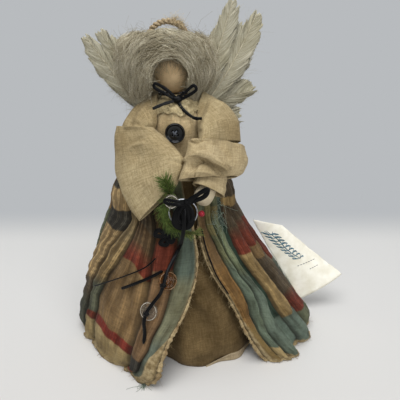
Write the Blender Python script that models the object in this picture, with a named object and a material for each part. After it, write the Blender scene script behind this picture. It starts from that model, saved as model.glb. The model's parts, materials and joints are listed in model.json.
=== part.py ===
"""A standing folk-art angel doll, built from its stuffed, sewn, tied and glued pieces.

Units are metres and +Z is up. The doll faces -Y. The origin is the centre of the stuffed body's flat base.
Left and right are those of someone who looks at the doll's front.
"""

import math

import bmesh
import bpy
import numpy as np
from mathutils import Vector

MM = 0.001
CLEAR = 0.3 * MM  # gap between pieces that touch

# Stuffed body: a leaning bottle shape with a flat base
BASE_RADIUS = 43 * MM
WAIST_RADIUS = 24 * MM
CHEST_RADIUS = 25 * MM
NECK_RADIUS = 9 * MM
WAIST_HEIGHT = 172 * MM
CHEST_LENGTH = 44 * MM  # from the waist to the shoulders
NECK_LENGTH = 13.5 * MM
SHOULDER_HEIGHT = WAIST_HEIGHT + CHEST_LENGTH
NECK_HEIGHT = SHOULDER_HEIGHT + NECK_LENGTH
BODY_LEAN = 18 * MM  # how far the chest stands to the left of the base

# Head
HEAD_HALF_WIDTH = 20 * MM
HEAD_HALF_DEPTH = 17.5 * MM
HEAD_HEIGHT = 45 * MM
HEAD_SHIFT = 3 * MM  # how far the head tips to the left of the neck

# Hair
HAIR_RISE = 7 * MM  # hair over the top of the head
HAIR_FRONT = 5 * MM  # hair in front of the brow
HAIR_BACK = 9 * MM
HAIR_SIDE = 19 * MM  # hair beside the widest part of the head
FACE_HALF_WIDTH = 17.5 * MM  # the bare oval of the face
FACE_HEIGHT = 29 * MM

# Twisted halo
HALO_RADIUS = 17 * MM
HALO_STRAND = 1.5 * MM
HALO_TWISTS = 9
HALO_TILT = -15  # degrees back from upright

# Underskirt
UNDERSKIRT_CLOTH = 1.2 * MM
UNDERSKIRT_FLARE = 5.5 * MM  # how far its hem stands off the body
UNDERSKIRT_FOLD = 3.0 * MM
UNDERSKIRT_FOLDS = 7

# Quilted overskirt
QUILT_THICKNESS = 3.6 * MM
SKIRT_OVERLAP = 7 * MM  # how far the skirts reach above the waist
QUILT_TOP = WAIST_HEIGHT + SKIRT_OVERLAP
QUILT_GATHER = 6 * MM  # how far the gathers puff out just under the waist
QUILT_BELLY = 4 * MM  # how far the left side puffs out half way up
QUILT_HEM = (  # direction round the body in degrees, 0 at the front and 90 at the right, and the hem's reach
    (-180, 88 * MM),
    (-150, 98 * MM),
    (-120, 109 * MM),
    (-92, 114 * MM),
    (-68, 95 * MM),
    (-47, 85 * MM),
    (-33, 88 * MM),
    (10, 80 * MM),
    (50, 74 * MM),
    (60, 88 * MM),
    (76, 97 * MM),
    (99, 106 * MM),
    (122, 103 * MM),
    (150, 94 * MM),
)
OPENING_LEFT = (  # share of the height, direction of the front edge
    (0, -32.5),
    (0.05, -25.5),
    (0.15, -21.6),
    (0.26, -16),
    (0.35, -7.6),
    (0.44, 0.5),
    (0.52, 7.6),
    (0.6, 11.6),
    (0.68, 13),
    (0.8, 10),
    (1, 4),
)
OPENING_RIGHT = (
    (0, 53.5),
    (0.05, 49),
    (0.16, 42),
    (0.28, 38),
    (0.38, 32.6),
    (0.48, 24.5),
    (0.59, 20),
    (0.7, 20),
    (1, 22),
)
SEAMS_LEFT = (  # seams of the left front, each as (share of the height, place along the cloth from the left front edge)
    ((0, 0), (1, 0)),
    ((0, 0.050), (0.06, 0.042), (0.19, 0.030), (0.32, 0.034), (0.47, 0.049), (0.56, 0.059), (0.69, 0.048), (1, 0.045)),
    ((0, 0.068), (0.15, 0.066), (0.28, 0.070), (0.44, 0.092), (0.53, 0.105), (0.59, 0.112), (0.76, 0.106), (1, 0.100)),
    ((0, 0.175), (0.22, 0.191), (0.29, 0.206), (0.44, 0.208), (0.55, 0.198), (0.66, 0.181), (0.76, 0.160), (1, 0.150)),
    ((0, 0.205), (0.21, 0.212), (0.36, 0.237), (0.57, 0.237), (0.66, 0.215), (0.73, 0.190), (1, 0.175)),
    ((0, 0.285), (1, 0.285)),
)
FOLDS_LEFT = (1.5 * MM, 2.5 * MM, 5.5 * MM, 5 * MM, 8 * MM)  # how far each strip between two seams stands out
SEAMS_RIGHT = (
    ((0, 0.805), (1, 0.805)),
    ((0, 0.870), (0.26, 0.868), (0.36, 0.873), (0.56, 0.857), (0.65, 0.859), (0.81, 0.870), (1, 0.872)),
    ((0, 0.915), (0.30, 0.915), (0.43, 0.903), (0.60, 0.895), (0.70, 0.896), (0.84, 0.899), (1, 0.900)),
    ((0, 0.940), (0.26, 0.934), (0.32, 0.923), (0.45, 0.912), (0.56, 0.907), (0.68, 0.911), (0.81, 0.916), (1, 0.918)),
    ((0, 0.966), (0.18, 0.960), (0.29, 0.945), (0.38, 0.933), (0.49, 0.925), (0.60, 0.930), (0.73, 0.945), (1, 0.945)),
    ((0, 0.980), (0.27, 0.972), (0.31, 0.962), (0.41, 0.950), (0.50, 0.945), (0.62, 0.952), (0.70, 0.970), (1, 0.972)),
    ((0, 1), (1, 1)),
)
FOLDS_RIGHT = (8 * MM, 8 * MM, -2 * MM, 6 * MM, 5 * MM, 3.5 * MM)
QUILT_ROWS = 9
STRIP_COLUMNS = 3  # columns of the mesh in each strip
BACK_FOLDS = 8
BACK_FOLD = 7.0 * MM

# Jacket and sleeves
JACKET_CLOTH = 1.4 * MM
SLEEVE_WALL = 1.2 * MM
CUFF_SIDES = 18
LAPEL_LEFT = -58  # degrees
LAPEL_RIGHT = 58

# Arms
ARM_RADIUS = 2.8 * MM
HAND_RADIUS = 7.2 * MM
HIDDEN_HAND_RADIUS = 4.2 * MM  # the left hand, inside its cuff

# Feather wings
FEATHER_THICKNESS = 0.9 * MM
FEATHER_CURL = 1.3  # backward bend, in metres for each square metre out from the spine
FEATHER_LIFT = 3 * MM  # the height of a quill's root above its neighbour's

# Buttons
BUTTON_RADIUS = 7.9 * MM
BUTTON_THICKNESS = 3.2 * MM
BUTTON_HEIGHT = 30.4 * MM  # above the waist
BUTTON_SHIFT = 1.3 * MM  # left of the body's middle
CLEAR_BUTTON_RADIUS = 7.6 * MM
CLEAR_BUTTON_THICKNESS = 2.0 * MM
BUTTON_HOLE = 0.9 * MM
BUTTON_HOLE_SPACING = 3.0 * MM
BUTTON_HOLE_TURN = 0.9  # radians

# Wreath
WREATH_CENTRE = (5.5, -61, -22)  # from the middle of the waist, in millimetres
WREATH_RADIUS = 10.4 * MM
WREATH_WIRE = 0.6 * MM
GARLAND_RADIUS = 5 * MM
BERRY_RADIUS = 2.4 * MM

# Laces
LACE_WIDTH = 2.2 * MM
CORD_WIDTH = 1.2 * MM

# Paper tag
TAG_THICKNESS = 0.5 * MM


def clear_scene():
    for old in list(bpy.data.objects):
        bpy.data.objects.remove(old, do_unlink=True)


def material(name, colour, roughness=0.85, metallic=0.0, alpha=1.0):
    made = bpy.data.materials.get(name) or bpy.data.materials.new(name)
    made.use_nodes = True
    shader = made.node_tree.nodes["Principled BSDF"]
    shader.inputs["Base Color"].default_value = (*colour, 1.0)
    shader.inputs["Roughness"].default_value = roughness
    shader.inputs["Metallic"].default_value = metallic
    shader.inputs["Alpha"].default_value = alpha
    return made


def smooth_curve(pairs, at):
    """A smooth line through (place, value) pairs, read at one place or at an array of them."""
    places = np.array([p for p, _ in pairs], float)
    values = np.array([v for _, v in pairs], float)
    slopes = np.gradient(values, places)
    at = np.clip(np.asarray(at, float), places[0], places[-1])
    k = np.clip(np.searchsorted(places, at, side="right") - 1, 0, len(places) - 2)
    gap = places[k + 1] - places[k]
    t = (at - places[k]) / gap
    return (
        values[k] * (1 + 2 * t) * (1 - t) ** 2
        + values[k + 1] * t * t * (3 - 2 * t)
        + gap * (slopes[k] * t * (1 - t) ** 2 - slopes[k + 1] * t * t * (1 - t))
    )


def bump(x):
    """A rounded hill: 1 at x = 0, and 0 from x = 1 and beyond."""
    return np.where(np.abs(x) < 1, 0.5 + 0.5 * np.cos(np.pi * np.clip(x, -1, 1)), 0.0)


def mesh_object(name, bm, finish, smooth=True):
    mesh = bpy.data.meshes.new(name)
    bmesh.ops.recalc_face_normals(bm, faces=bm.faces)
    bm.to_mesh(mesh)
    bm.free()
    if smooth:
        mesh.shade_smooth()
    made = bpy.data.objects.new(name, mesh)
    bpy.context.scene.collection.objects.link(made)
    made.data.materials.append(finish)
    return made


def ring_loft(name, rings, finish):
    """A solid through closed rings of equal count, with a flat face on each end."""
    bm = bmesh.new()
    loops = [[bm.verts.new(p) for p in ring] for ring in rings]
    for low, high in zip(loops, loops[1:]):
        for i in range(len(low)):
            j = (i + 1) % len(low)
            bm.faces.new((low[i], low[j], high[j], high[i]))
    bm.faces.new(reversed(loops[0]))
    bm.faces.new(loops[-1])
    return mesh_object(name, bm, finish)


def ring_shell(name, outer, inner, finish):
    """A tube with a wall: outer and inner rings, joined at both open ends."""
    bm = bmesh.new()
    walls = [[[bm.verts.new(p) for p in ring] for ring in rings] for rings in (outer, inner)]
    for rings in walls:
        for low, high in zip(rings, rings[1:]):
            for i in range(len(low)):
                j = (i + 1) % len(low)
                bm.faces.new((low[i], low[j], high[j], high[i]))
    for end in (0, -1):
        for i in range(len(outer[0])):
            j = (i + 1) % len(outer[0])
            bm.faces.new((walls[0][end][i], walls[0][end][j], walls[1][end][j], walls[1][end][i]))
    return mesh_object(name, bm, finish)


def grid_sheet(name, front, back, finish):
    """A sheet with thickness: two grids of points, joined along all four edges."""
    bm = bmesh.new()
    sides = [[[bm.verts.new(p) for p in row] for row in grid] for grid in (front, back)]
    for grid in sides:
        for low, high in zip(grid, grid[1:]):
            for i in range(len(low) - 1):
                bm.faces.new((low[i], low[i + 1], high[i + 1], high[i]))

    def border(grid):
        return (
            grid[0]
            + [row[-1] for row in grid[1:-1]]
            + grid[-1][::-1]
            + [row[0] for row in grid[-2:0:-1]]
        )

    first, second = border(sides[0]), border(sides[1])
    for i in range(len(first)):
        j = (i + 1) % len(first)
        bm.faces.new((first[i], first[j], second[j], second[i]))
    return mesh_object(name, bm, finish)


def cut_away(piece, cutter):
    """Takes the cutter out of the piece with a Boolean modifier, and hides the cutter."""
    cutter.hide_render = True
    cutter.display_type = "WIRE"
    cut = piece.modifiers.new("Cut by " + cutter.name, "BOOLEAN")
    cut.operation = "DIFFERENCE"
    cut.solver = "EXACT"
    cut.object = cutter


def joined(name, parts, finish):
    """One closed body from overlapping parts, joined by Boolean union."""
    first = parts[0]
    first.name = name
    for part in parts[1:]:
        union = first.modifiers.new("Join", "BOOLEAN")
        union.operation = "UNION"
        union.solver = "EXACT"
        union.use_self = True
        union.object = part
    bpy.context.view_layer.update()
    graph = bpy.context.evaluated_depsgraph_get()
    mesh = bpy.data.meshes.new_from_object(first.evaluated_get(graph))
    for part in parts:
        bpy.data.objects.remove(part, do_unlink=True)
    made = bpy.data.objects.new(name, mesh)
    bpy.context.scene.collection.objects.link(made)
    made.data.materials.clear()
    made.data.materials.append(finish)
    return made


# Body and skirts, which share one leaning axis


def axis_x(z):
    """The leaning axis: at the origin on the floor, and BODY_LEAN to the left from the waist up."""
    t = np.clip(np.asarray(z, float) / WAIST_HEIGHT, 0, 1)
    return -BODY_LEAN * t * t * (3 - 2 * t)


def body_radius(z):
    shape = (
        (0, BASE_RADIUS - 3 * MM),
        (5 * MM, BASE_RADIUS),
        (0.3 * WAIST_HEIGHT, 0.93 * BASE_RADIUS),
        (0.7 * WAIST_HEIGHT, 0.5 * (0.75 * BASE_RADIUS + WAIST_RADIUS)),
        (WAIST_HEIGHT, WAIST_RADIUS),
        (0.5 * (WAIST_HEIGHT + SHOULDER_HEIGHT), CHEST_RADIUS),
        (SHOULDER_HEIGHT, 0.93 * CHEST_RADIUS),
        (SHOULDER_HEIGHT + 0.55 * (NECK_HEIGHT - SHOULDER_HEIGHT), 0.72 * CHEST_RADIUS),
        (NECK_HEIGHT, NECK_RADIUS),
    )
    return smooth_curve(shape, z)


def waist_point(point):
    """A point given in millimetres from the middle of the waist: what hangs from the upper body moves with it."""
    return Vector((-BODY_LEAN, 0, WAIST_HEIGHT)) + Vector(point) * MM


def neck_point(point):
    """A point given in millimetres from the middle of the neck's top."""
    return Vector((-BODY_LEAN, 0, NECK_HEIGHT)) + Vector(point) * MM


def wreath_point(point):
    """A point given in millimetres from the wreath's centre."""
    return waist_point(WREATH_CENTRE) + Vector(point) * MM


def around(radius, turn, z):
    """Points at a radius and a direction in radians from the leaning axis: 0 is the front, and pi/2 is the right."""
    x = axis_x(z) + radius * np.sin(turn)
    y = -radius * np.cos(turn)
    return np.stack(np.broadcast_arrays(x, y, z), axis=-1)


BODY_SIDES = 20
JACKET_BOTTOM = QUILT_TOP + CLEAR
GAUZE_BOTTOM = SHOULDER_HEIGHT + 2 * MM
JACKET_TOP = GAUZE_BOTTOM - CLEAR
GAUZE_TOP = NECK_HEIGHT - 1 * MM
GAUZE_RUFFLE = 1.6 * MM
CHEST_HEIGHTS = (
    JACKET_BOTTOM,
    0.5 * (JACKET_BOTTOM + SHOULDER_HEIGHT),
    SHOULDER_HEIGHT,
    JACKET_TOP,
    GAUZE_BOTTOM,
    0.5 * (GAUZE_BOTTOM + GAUZE_TOP),
    GAUZE_TOP,
)


def clad(radius):
    """A radius that keeps the clearance from a faceted round surface of the body."""
    return (radius + CLEAR) / math.cos(math.pi / BODY_SIDES)


def stuffed_body():
    heights = (0, 5 * MM, *(np.array((0.3, 0.7, 1)) * WAIST_HEIGHT), *CHEST_HEIGHTS, NECK_HEIGHT)
    turns = np.linspace(0, 2 * math.pi, BODY_SIDES, endpoint=False)
    rings = [around(body_radius(z), turns, z) for z in heights]
    return ring_loft("stuffed_body", rings, MUSLIN)


UNDERSKIRT_TOP = QUILT_TOP


def underskirt_inner(z):
    """The widest reach of the body under the skirt, with the flare that grows towards the hem."""
    down = np.clip(1 - z / UNDERSKIRT_TOP, 0, 1)
    return clad(body_radius(np.maximum(z, 5 * MM)) + CLEAR) + UNDERSKIRT_FLARE * down


def underskirt_envelope(z):
    """The radius that no fold of the underskirt passes."""
    down = np.clip(1 - z / UNDERSKIRT_TOP, 0, 1)
    return underskirt_inner(z) + UNDERSKIRT_FOLD * down + UNDERSKIRT_CLOTH


def underskirt():
    turns = np.linspace(0, 2 * math.pi, 4 * UNDERSKIRT_FOLDS, endpoint=False)
    folds = 0.5 + 0.5 * np.cos(UNDERSKIRT_FOLDS * turns + 0.6)
    outer, inner = [], []
    for z in np.linspace(0, UNDERSKIRT_TOP, 5):
        down = 1 - z / UNDERSKIRT_TOP
        radius = underskirt_inner(z) + UNDERSKIRT_FOLD * down * folds
        inner.append(around(radius, turns, z))
        outer.append(around(radius + UNDERSKIRT_CLOTH, turns, z))
    return ring_shell("underskirt", outer, inner, BROWN_MUSLIN)


def hem_reach(turn):
    """The hem's distance from the body's axis in a direction, smooth all the way round."""
    degrees = (np.degrees(turn) + 180) % 360 - 180
    first = QUILT_HEM[0]
    return smooth_curve((*QUILT_HEM, (first[0] + 360, first[1])), degrees)


def quilt_seams(share):
    """The places of all the seams along the cloth at one share of the height, from the left front edge to the right one."""
    left = [float(np.interp(share, *np.transpose(seam))) for seam in SEAMS_LEFT]
    right = [float(np.interp(share, *np.transpose(seam))) for seam in SEAMS_RIGHT]
    back = np.linspace(left[-1], right[0], BACK_FOLDS + 1)[1:-1]
    return np.array([*left, *back, *right])


FOLDS = (*FOLDS_LEFT, *(BACK_FOLD for _ in range(BACK_FOLDS)), *FOLDS_RIGHT)


def quilt_folds(u, share):
    """The height of the folds at a place along the cloth: each strip between two seams is a rounded ridge."""
    seams = quilt_seams(share)
    strip = np.clip(np.searchsorted(seams, u, side="right") - 1, 0, len(FOLDS) - 1)
    across = (u - seams[strip]) / (seams[strip + 1] - seams[strip])
    return np.array(FOLDS)[strip] * np.sin(np.pi * np.clip(across, 0, 1)) ** 0.7


def quilt_turn(u, share):
    """The direction of a place on the quilt: it runs from the left front edge round the back to the right one."""
    left = np.radians(smooth_curve(OPENING_LEFT, share))
    right = np.radians(smooth_curve(OPENING_RIGHT, share)) - 2 * math.pi
    return left + u * (right - left)


def quilt_inner(turn, u, z):
    share = z / QUILT_TOP
    down = 1 - share
    seat = underskirt_envelope(z) + CLEAR
    reach = hem_reach(turn) - QUILT_THICKNESS - underskirt_envelope(0) - CLEAR
    side = np.sin(turn)
    slope = 0.93 + np.where(side < 0, 0.36, 0.13) * side  # the left side puffs out, the right falls straighter
    puff = QUILT_GATHER * bump((share - 0.86) / 0.14) + QUILT_BELLY * np.maximum(-side, 0) * bump((share - 0.5) / 0.5)
    return seat + reach * down**slope + puff + quilt_folds(u, share) * (0.25 + 0.75 * down) * np.clip(8 * down, 0, 1)


def quilt_grid(rows, extra=0.0):
    """Outer and inner points of the quilt, as rows from the hem to the waist, with columns that run along its seams."""
    lines = np.arange(len(FOLDS) * STRIP_COLUMNS + 1) / STRIP_COLUMNS
    outer, inner = [], []
    for share in np.linspace(0, 1, rows):
        z = share * QUILT_TOP
        u = np.interp(lines, np.arange(len(FOLDS) + 1), quilt_seams(share))
        turn = quilt_turn(u, share)
        radius = quilt_inner(turn, u, z)
        inner.append(around(radius, turn, z))
        outer.append(around(radius + QUILT_THICKNESS + extra, turn, z))
    return outer, inner


def quilt_overskirt():
    outer, inner = quilt_grid(QUILT_ROWS)
    return grid_sheet("quilt_overskirt", outer, inner, QUILT)


# Jacket


def jacket_outer(z):
    return clad(body_radius(z)) + JACKET_CLOTH


def chest_heights(low, high):
    return [z for z in CHEST_HEIGHTS if low - 1e-6 <= z <= high + 1e-6]


def jacket_bodice():
    turns = np.radians(np.linspace(LAPEL_RIGHT, LAPEL_LEFT + 360, 15))
    heights = chest_heights(JACKET_BOTTOM, JACKET_TOP)
    inner = [around(clad(body_radius(z)), turns, z) for z in heights]
    outer = [around(jacket_outer(z), turns, z) for z in heights]
    return grid_sheet("jacket_bodice", outer, inner, CREAM)


def chest_cutter():
    """The body and jacket with the clearance round them: what is seated on the chest is cut to this."""
    turns = np.linspace(0, 2 * math.pi, BODY_SIDES, endpoint=False)
    heights = (0.9 * WAIST_HEIGHT, *CHEST_HEIGHTS, NECK_HEIGHT)
    reach = [clad(jacket_outer(z) + (GAUZE_RUFFLE if z >= GAUZE_BOTTOM else 0)) for z in heights]
    return ring_loft("chest_cutter", [around(r, turns, z) for r, z in zip(reach, heights)], CREAM)


def neck_gauze():
    """A frayed strip of gauze ruffled round the neck."""
    turns = np.linspace(0, 2 * math.pi, BODY_SIDES, endpoint=False)
    outer, inner = [], []
    for z in chest_heights(GAUZE_BOTTOM, GAUZE_TOP):
        ruffle = 0.5 * GAUZE_RUFFLE * (1 + np.cos(BODY_SIDES / 3 * turns + 900 * z))
        inner.append(around(clad(body_radius(z)), turns, z))
        outer.append(around(clad(body_radius(z)) + 0.7 * MM + ruffle, turns, z))
    return ring_shell("neck_gauze", outer, inner, GAUZE)


def flat_ring(first, second, half_depth, along, sides, shrink=0.0):
    """A flattened ring of cloth between two edge points: an ellipse whose flat side faces across the tube."""
    first, second = Vector(first), Vector(second)
    centre = (first + second) / 2
    wide = (second - first) / 2
    deep = wide.cross(Vector(along)).normalized() * (half_depth - shrink)
    wide = wide.normalized() * (wide.length - shrink)
    ring = []
    for i in range(sides):
        a = 2 * math.pi * i / sides
        c, s = math.cos(a), math.sin(a)
        ring.append(centre + wide * math.copysign(abs(c) ** 0.8, c) + deep * math.copysign(abs(s) ** 0.8, s))
    return ring


def cloth_tube(name, stations, finish, sides=15, wall=SLEEVE_WALL, folds=0.0):
    """A flattened cloth tube through (edge point, edge point, half depth) stations, in millimetres from the waist's middle.

    Where folds is given, gathers of that height run round and along the tube.
    """
    stations = [
        (waist_point(a), waist_point(b), depth * MM) for a, b, depth in stations
    ]
    middles = [(a + b) / 2 for a, b, _ in stations]
    outer, inner = [], []
    for k, (a, b, depth) in enumerate(stations):
        before, after = middles[max(k - 1, 0)], middles[min(k + 1, len(middles) - 1)]
        along = (after - before).normalized()
        centre = middles[k]
        heights = [folds * math.cos(5 * 2 * math.pi * i / sides + 1.1 * k) for i in range(sides)]
        for rings, shrink in ((outer, 0.0), (inner, wall)):
            ring = flat_ring(a, b, depth, along, sides, shrink)
            rings.append([p + (p - centre).normalized() * h for p, h in zip(ring, heights)])
    return ring_shell(name, outer, inner, finish)


def tube_hull(name, stations, sides=16, folds=0.0):
    """The space a cloth tube takes up with the clearance round it, to cut what enters it."""
    grown = []
    for a, b, depth in stations:
        way = (Vector(b) - Vector(a)).normalized() * (folds + 1.5 * CLEAR) / MM
        grown.append((Vector(a) - way, Vector(b) + way, depth + (folds + 1.5 * CLEAR) / MM))
    up = (grown[0][0] + grown[0][1] - grown[1][0] - grown[1][1]).normalized() * 2 * CLEAR / MM
    grown[0] = (grown[0][0] + up, grown[0][1] + up, grown[0][2])
    shell = cloth_tube(name, grown, CREAM, sides, folds=folds)
    mesh = shell.data
    count = len(mesh.vertices) // 2
    points = [v.co.copy() for v in mesh.vertices[:count]]
    bpy.data.objects.remove(shell, do_unlink=True)
    return ring_loft(name, [points[i : i + sides] for i in range(0, count, sides)], CREAM)


SLEEVE_LEFT = (
    ((-16, 2, 55), (-15, -20, 34), 9),
    ((-32, 0, 46), (-18, -26, 34), 9),
    ((-42, -7, 36), (-23, -28, 33), 5.8),
    ((-44, -12, 29), (-25, -33, 26), 5.4),
)
CUFF_LEFT = (
    ((-48, -9, 33), (-19, -31, 36), 7.6),
    ((-50, -15, 17), (-6, -39, 27), 9),
    ((-48, -26, -4), (4, -49, 18), 7.4),
    ((-39, -40.5, -21), (4, -53.5, 8), 6.2),
    ((-29, -49, -34), (1, -54, -2), 5),
)
SLEEVE_RIGHT = (
    ((22, 4, 57), (15, -18, 31), 9),
    ((37, 1, 47), (17, -27, 33), 11),
    ((48, -4, 34), (18, -34, 31), 9.5),
    ((50, -12, 20), (17, -42, 25), 5.6),
)
CUFF_RIGHT = (
    ((54, -10, 15), (11, -46, 29), 8.5),
    ((55, -17, 6), (9, -52, 19), 10.5),
    ((52, -26, -1), (6, -58, 9), 10.5),
    ((47, -34, -3), (3, -60, 3), 9),
)
WRIST_BAND = (
    ((38, -38, 6), (19, -49, 11), 4.4),
    ((38, -42, -4), (16, -53, 4), 5.2),
    ((35.5, -47.5, -15), (13.5, -57, -0.5), 7.4),
)


def arm(name, route, hand_radius, cutter):
    """A stuffed arm that ends in a mitten hand: a loft along its route with a rounded tip."""
    points = [waist_point(p) for p in route]
    count = 9
    last = len(points) - 1
    rings = []
    for k in range(count):
        t = k / (count - 1)
        place = t * last
        i = min(int(place), last - 1)
        f = place - i
        p = [points[max(i - 1, 0)], points[i], points[i + 1], points[min(i + 2, last)]]
        centre = 0.5 * (
            2 * p[1]
            + (p[2] - p[0]) * f
            + (2 * p[0] - 5 * p[1] + 4 * p[2] - p[3]) * f * f
            + (3 * p[1] - p[0] - 3 * p[2] + p[3]) * f**3
        )
        along = (p[2] - p[1]).normalized()
        side = along.cross(Vector((0, -1, 0.2))).normalized()
        front = side.cross(along)
        hand = bump((1 - t) / 0.34)
        radius = ARM_RADIUS + (hand_radius - ARM_RADIUS) * hand
        if t > 0.9:
            radius *= 0.72 if t < 1 else 0.3
        ring = []
        for j in range(9):
            a = 2 * math.pi * j / 9
            flatter = 1 - 0.25 * hand
            ring.append(centre + side * radius * math.cos(a) + front * radius * flatter * math.sin(a))
        rings.append(ring)
    made = ring_loft(name, rings, MUSLIN)
    cut_away(made, cutter)
    return made


ARM_LEFT = (
    (-32, -22, 28),
    (-29, -27, 20),
    (-23, -36.5, 6),
    (-18, -45, -6),
    (-15.5, -49.5, -14),
)
ARM_RIGHT = (
    (22, -10, 42),
    (32, -21, 31),
    (33, -31, 19),
    (28.5, -44, 7.5),
    (26.3, -48.7, -2),
    (20, -55.3, -15),
)


# Head, hair and halo

EGG_BASE = 0.25  # radians short of the pole at which an egg shape starts, with a flat face
HEAD_CENTRE = Vector((-BODY_LEAN - HEAD_SHIFT, 0, NECK_HEIGHT + CLEAR + math.cos(EGG_BASE) * HEAD_HEIGHT / 2))


def egg(centre, half, steps, sides, low=0.0):
    """Rings of an egg shape from its base to its crown."""
    rings = []
    for angle in np.linspace(-math.pi / 2 + EGG_BASE, math.pi / 2 - 0.2, steps):
        narrow = 1 - 0.12 * (math.sin(angle) - low) ** 2
        reach, rise = math.cos(angle) * narrow, math.sin(angle)
        ring = []
        for i in range(sides):
            a = 2 * math.pi * i / sides
            ring.append(
                centre + Vector((half[0] * reach * math.cos(a), half[1] * reach * math.sin(a), half[2] * rise))
            )
        rings.append(ring)
    return rings


def head(extra=0.0, name="head"):
    half = (HEAD_HALF_WIDTH + extra, HEAD_HALF_DEPTH + extra, HEAD_HEIGHT / 2 + extra)
    return ring_loft(name, egg(HEAD_CENTRE, half, 8, 16), MUSLIN)


def halo_point(t, radius):
    tilt = math.radians(HALO_TILT)
    centre = HEAD_CENTRE + Vector((-5 * MM, HEAD_HALF_DEPTH - 1 * MM, 16.5 * MM))
    flat = Vector((radius * math.cos(t), 0, radius * math.sin(t)))
    return centre + Vector((flat.x, flat.z * math.sin(tilt), flat.z * math.cos(tilt)))


def halo(extra=0.0, name="halo"):
    """A two-strand twisted ring: its section is a figure of eight that turns as it goes round.

    With extra it is a plain round ring that clears the rope on all sides.
    """
    stations, sides = (18, 6) if extra else (42, 6)
    bm = bmesh.new()
    rings = []
    for k in range(stations):
        t = 2 * math.pi * k / stations
        middle = halo_point(t, HALO_RADIUS)
        outward = (halo_point(t, HALO_RADIUS * 1.1) - middle).normalized()
        tangent = (halo_point(t + 0.01, HALO_RADIUS) - halo_point(t - 0.01, HALO_RADIUS)).normalized()
        across = tangent.cross(outward)
        ring = []
        for j in range(sides):
            a = 2 * math.pi * j / sides
            lobe = 1.42 * HALO_STRAND + extra if extra else HALO_STRAND * (1 + 0.42 * math.cos(2 * a - HALO_TWISTS * t))
            ring.append(bm.verts.new(middle + outward * lobe * math.cos(a) + across * lobe * math.sin(a)))
        rings.append(ring)
    for k in range(stations):
        low, high = rings[k], rings[(k + 1) % stations]
        for j in range(sides):
            i = (j + 1) % sides
            bm.faces.new((low[j], low[i], high[i], high[j]))
    return mesh_object(name, bm, STRAW)


HAIR_SHAPE = (  # share of the height, share of the half width, share of the half depth
    (0.0, 0.66, 0.66),
    (0.08, 0.84, 0.84),
    (0.22, 0.96, 0.96),
    (0.42, 1.0, 1.0),
    (0.66, 0.91, 0.93),
    (0.85, 0.70, 0.72),
    (0.96, 0.38, 0.44),
    (1.0, 0.10, 0.14),
)


def hair():
    """A mop of wool round the head, with the face, the head and the halo cut out of it."""
    low = NECK_HEIGHT + 2 * MM
    high = NECK_HEIGHT + HEAD_HEIGHT + HAIR_RISE
    front = -HEAD_HALF_DEPTH - HAIR_FRONT
    back = HEAD_HALF_DEPTH + HAIR_BACK
    centre = Vector((HEAD_CENTRE.x - 4 * MM, (front + back) / 2, 0))
    half_width = HEAD_HALF_WIDTH + HAIR_SIDE
    half_depth = (back - front) / 2
    rings = []
    for share, wide, deep in HAIR_SHAPE:
        ring = []
        for j in range(18):
            a = 2 * math.pi * j / 18
            lock = 1 - 0.045 * (0.5 + 0.5 * math.cos(7 * a + 2.2 * share))
            ring.append(
                centre
                + Vector(
                    (
                        half_width * wide * lock * math.cos(a),
                        half_depth * deep * lock * math.sin(a),
                        low + (high - low) * share,
                    )
                )
            )
        rings.append(ring)
    made = ring_loft("hair", rings, WOOL)
    cut_away(made, head(CLEAR, "head_cutter"))
    face_half = (FACE_HALF_WIDTH, 1.8 * HEAD_HALF_DEPTH, FACE_HEIGHT / 2 + 6 * MM)
    face_centre = Vector((HEAD_CENTRE.x - 1 * MM, -HEAD_HALF_DEPTH - 4 * MM, low - 2 * MM + FACE_HEIGHT / 2 - 6 * MM))
    cut_away(made, ring_loft("face_cutter", egg(face_centre, face_half, 6, 14), WOOL))
    cut_away(made, halo(1.5 * CLEAR, "halo_cutter"))
    return made


# Feather wings

FEATHERS_LEFT = (  # tip sideways from the spine, tip above the root, half width, bow of the quill, in millimetres
    (-80, 78, 11, 5),
    (-67, 82, 11, 2),
    (-72, 66, 11, 2),
    (-62, 51, 11, -3),
    (-59, 38, 10, -4),
    (-44, 25, 9, -4),
)
FEATHERS_RIGHT = (
    (45, 105.5, 11, -3),
    (66, 96, 12, -5),
    (54, 87, 11, -2),
    (66, 83, 11, 1),
    (59, 59, 11, 3),
    (66, 33, 10, 5),
    (52, 7, 9, 4),
)
FEATHER_ROOT_HEIGHT = WAIST_HEIGHT + 24 * MM


def feather(name, layer, side, tip_x, tip_z, half_width, bow):
    """A flat curved blade: quill, swelling vane and soft point, in its own layer behind the jacket."""
    root = Vector((side * 5 * MM, 0, FEATHER_ROOT_HEIGHT + layer * FEATHER_LIFT * 0.3))
    tip = Vector((tip_x * MM, 0, FEATHER_ROOT_HEIGHT + tip_z * MM))
    across = Vector((-(tip - root).z, 0, (tip - root).x)).normalized()
    seat = jacket_outer(FEATHER_ROOT_HEIGHT) + CLEAR + layer * (FEATHER_THICKNESS + CLEAR)
    front, back = [], []
    for t in np.linspace(0, 1, 7):
        middle = root.lerp(tip, float(t)) + across * bow * MM * math.sin(math.pi * t)
        shape = 0.12 + 0.88 * math.sin(math.pi * t**0.8) ** 0.7 if t < 1 else 0.12
        half = half_width * MM * shape
        rows = []
        for s in (-1, 0, 1):
            p = middle + across * half * s
            rows.append((p.x, p.z))
        front.append([Vector((x - BODY_LEAN, seat + FEATHER_CURL * x * x, z)) for x, z in rows])
        back.append([p + Vector((0, FEATHER_THICKNESS, 0)) for p in front[-1]])
    return grid_sheet(name, front, back, FEATHER)


def wings():
    for layer, (tip_x, tip_z, half, bow) in enumerate(FEATHERS_LEFT):
        feather(f"feather_left_{layer + 1}", layer, -1, tip_x, tip_z, half, bow)
    for layer, (tip_x, tip_z, half, bow) in enumerate(FEATHERS_RIGHT):
        feather(f"feather_right_{layer + 1}", layer, 1, tip_x, tip_z, half, bow)


# Buttons


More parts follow.
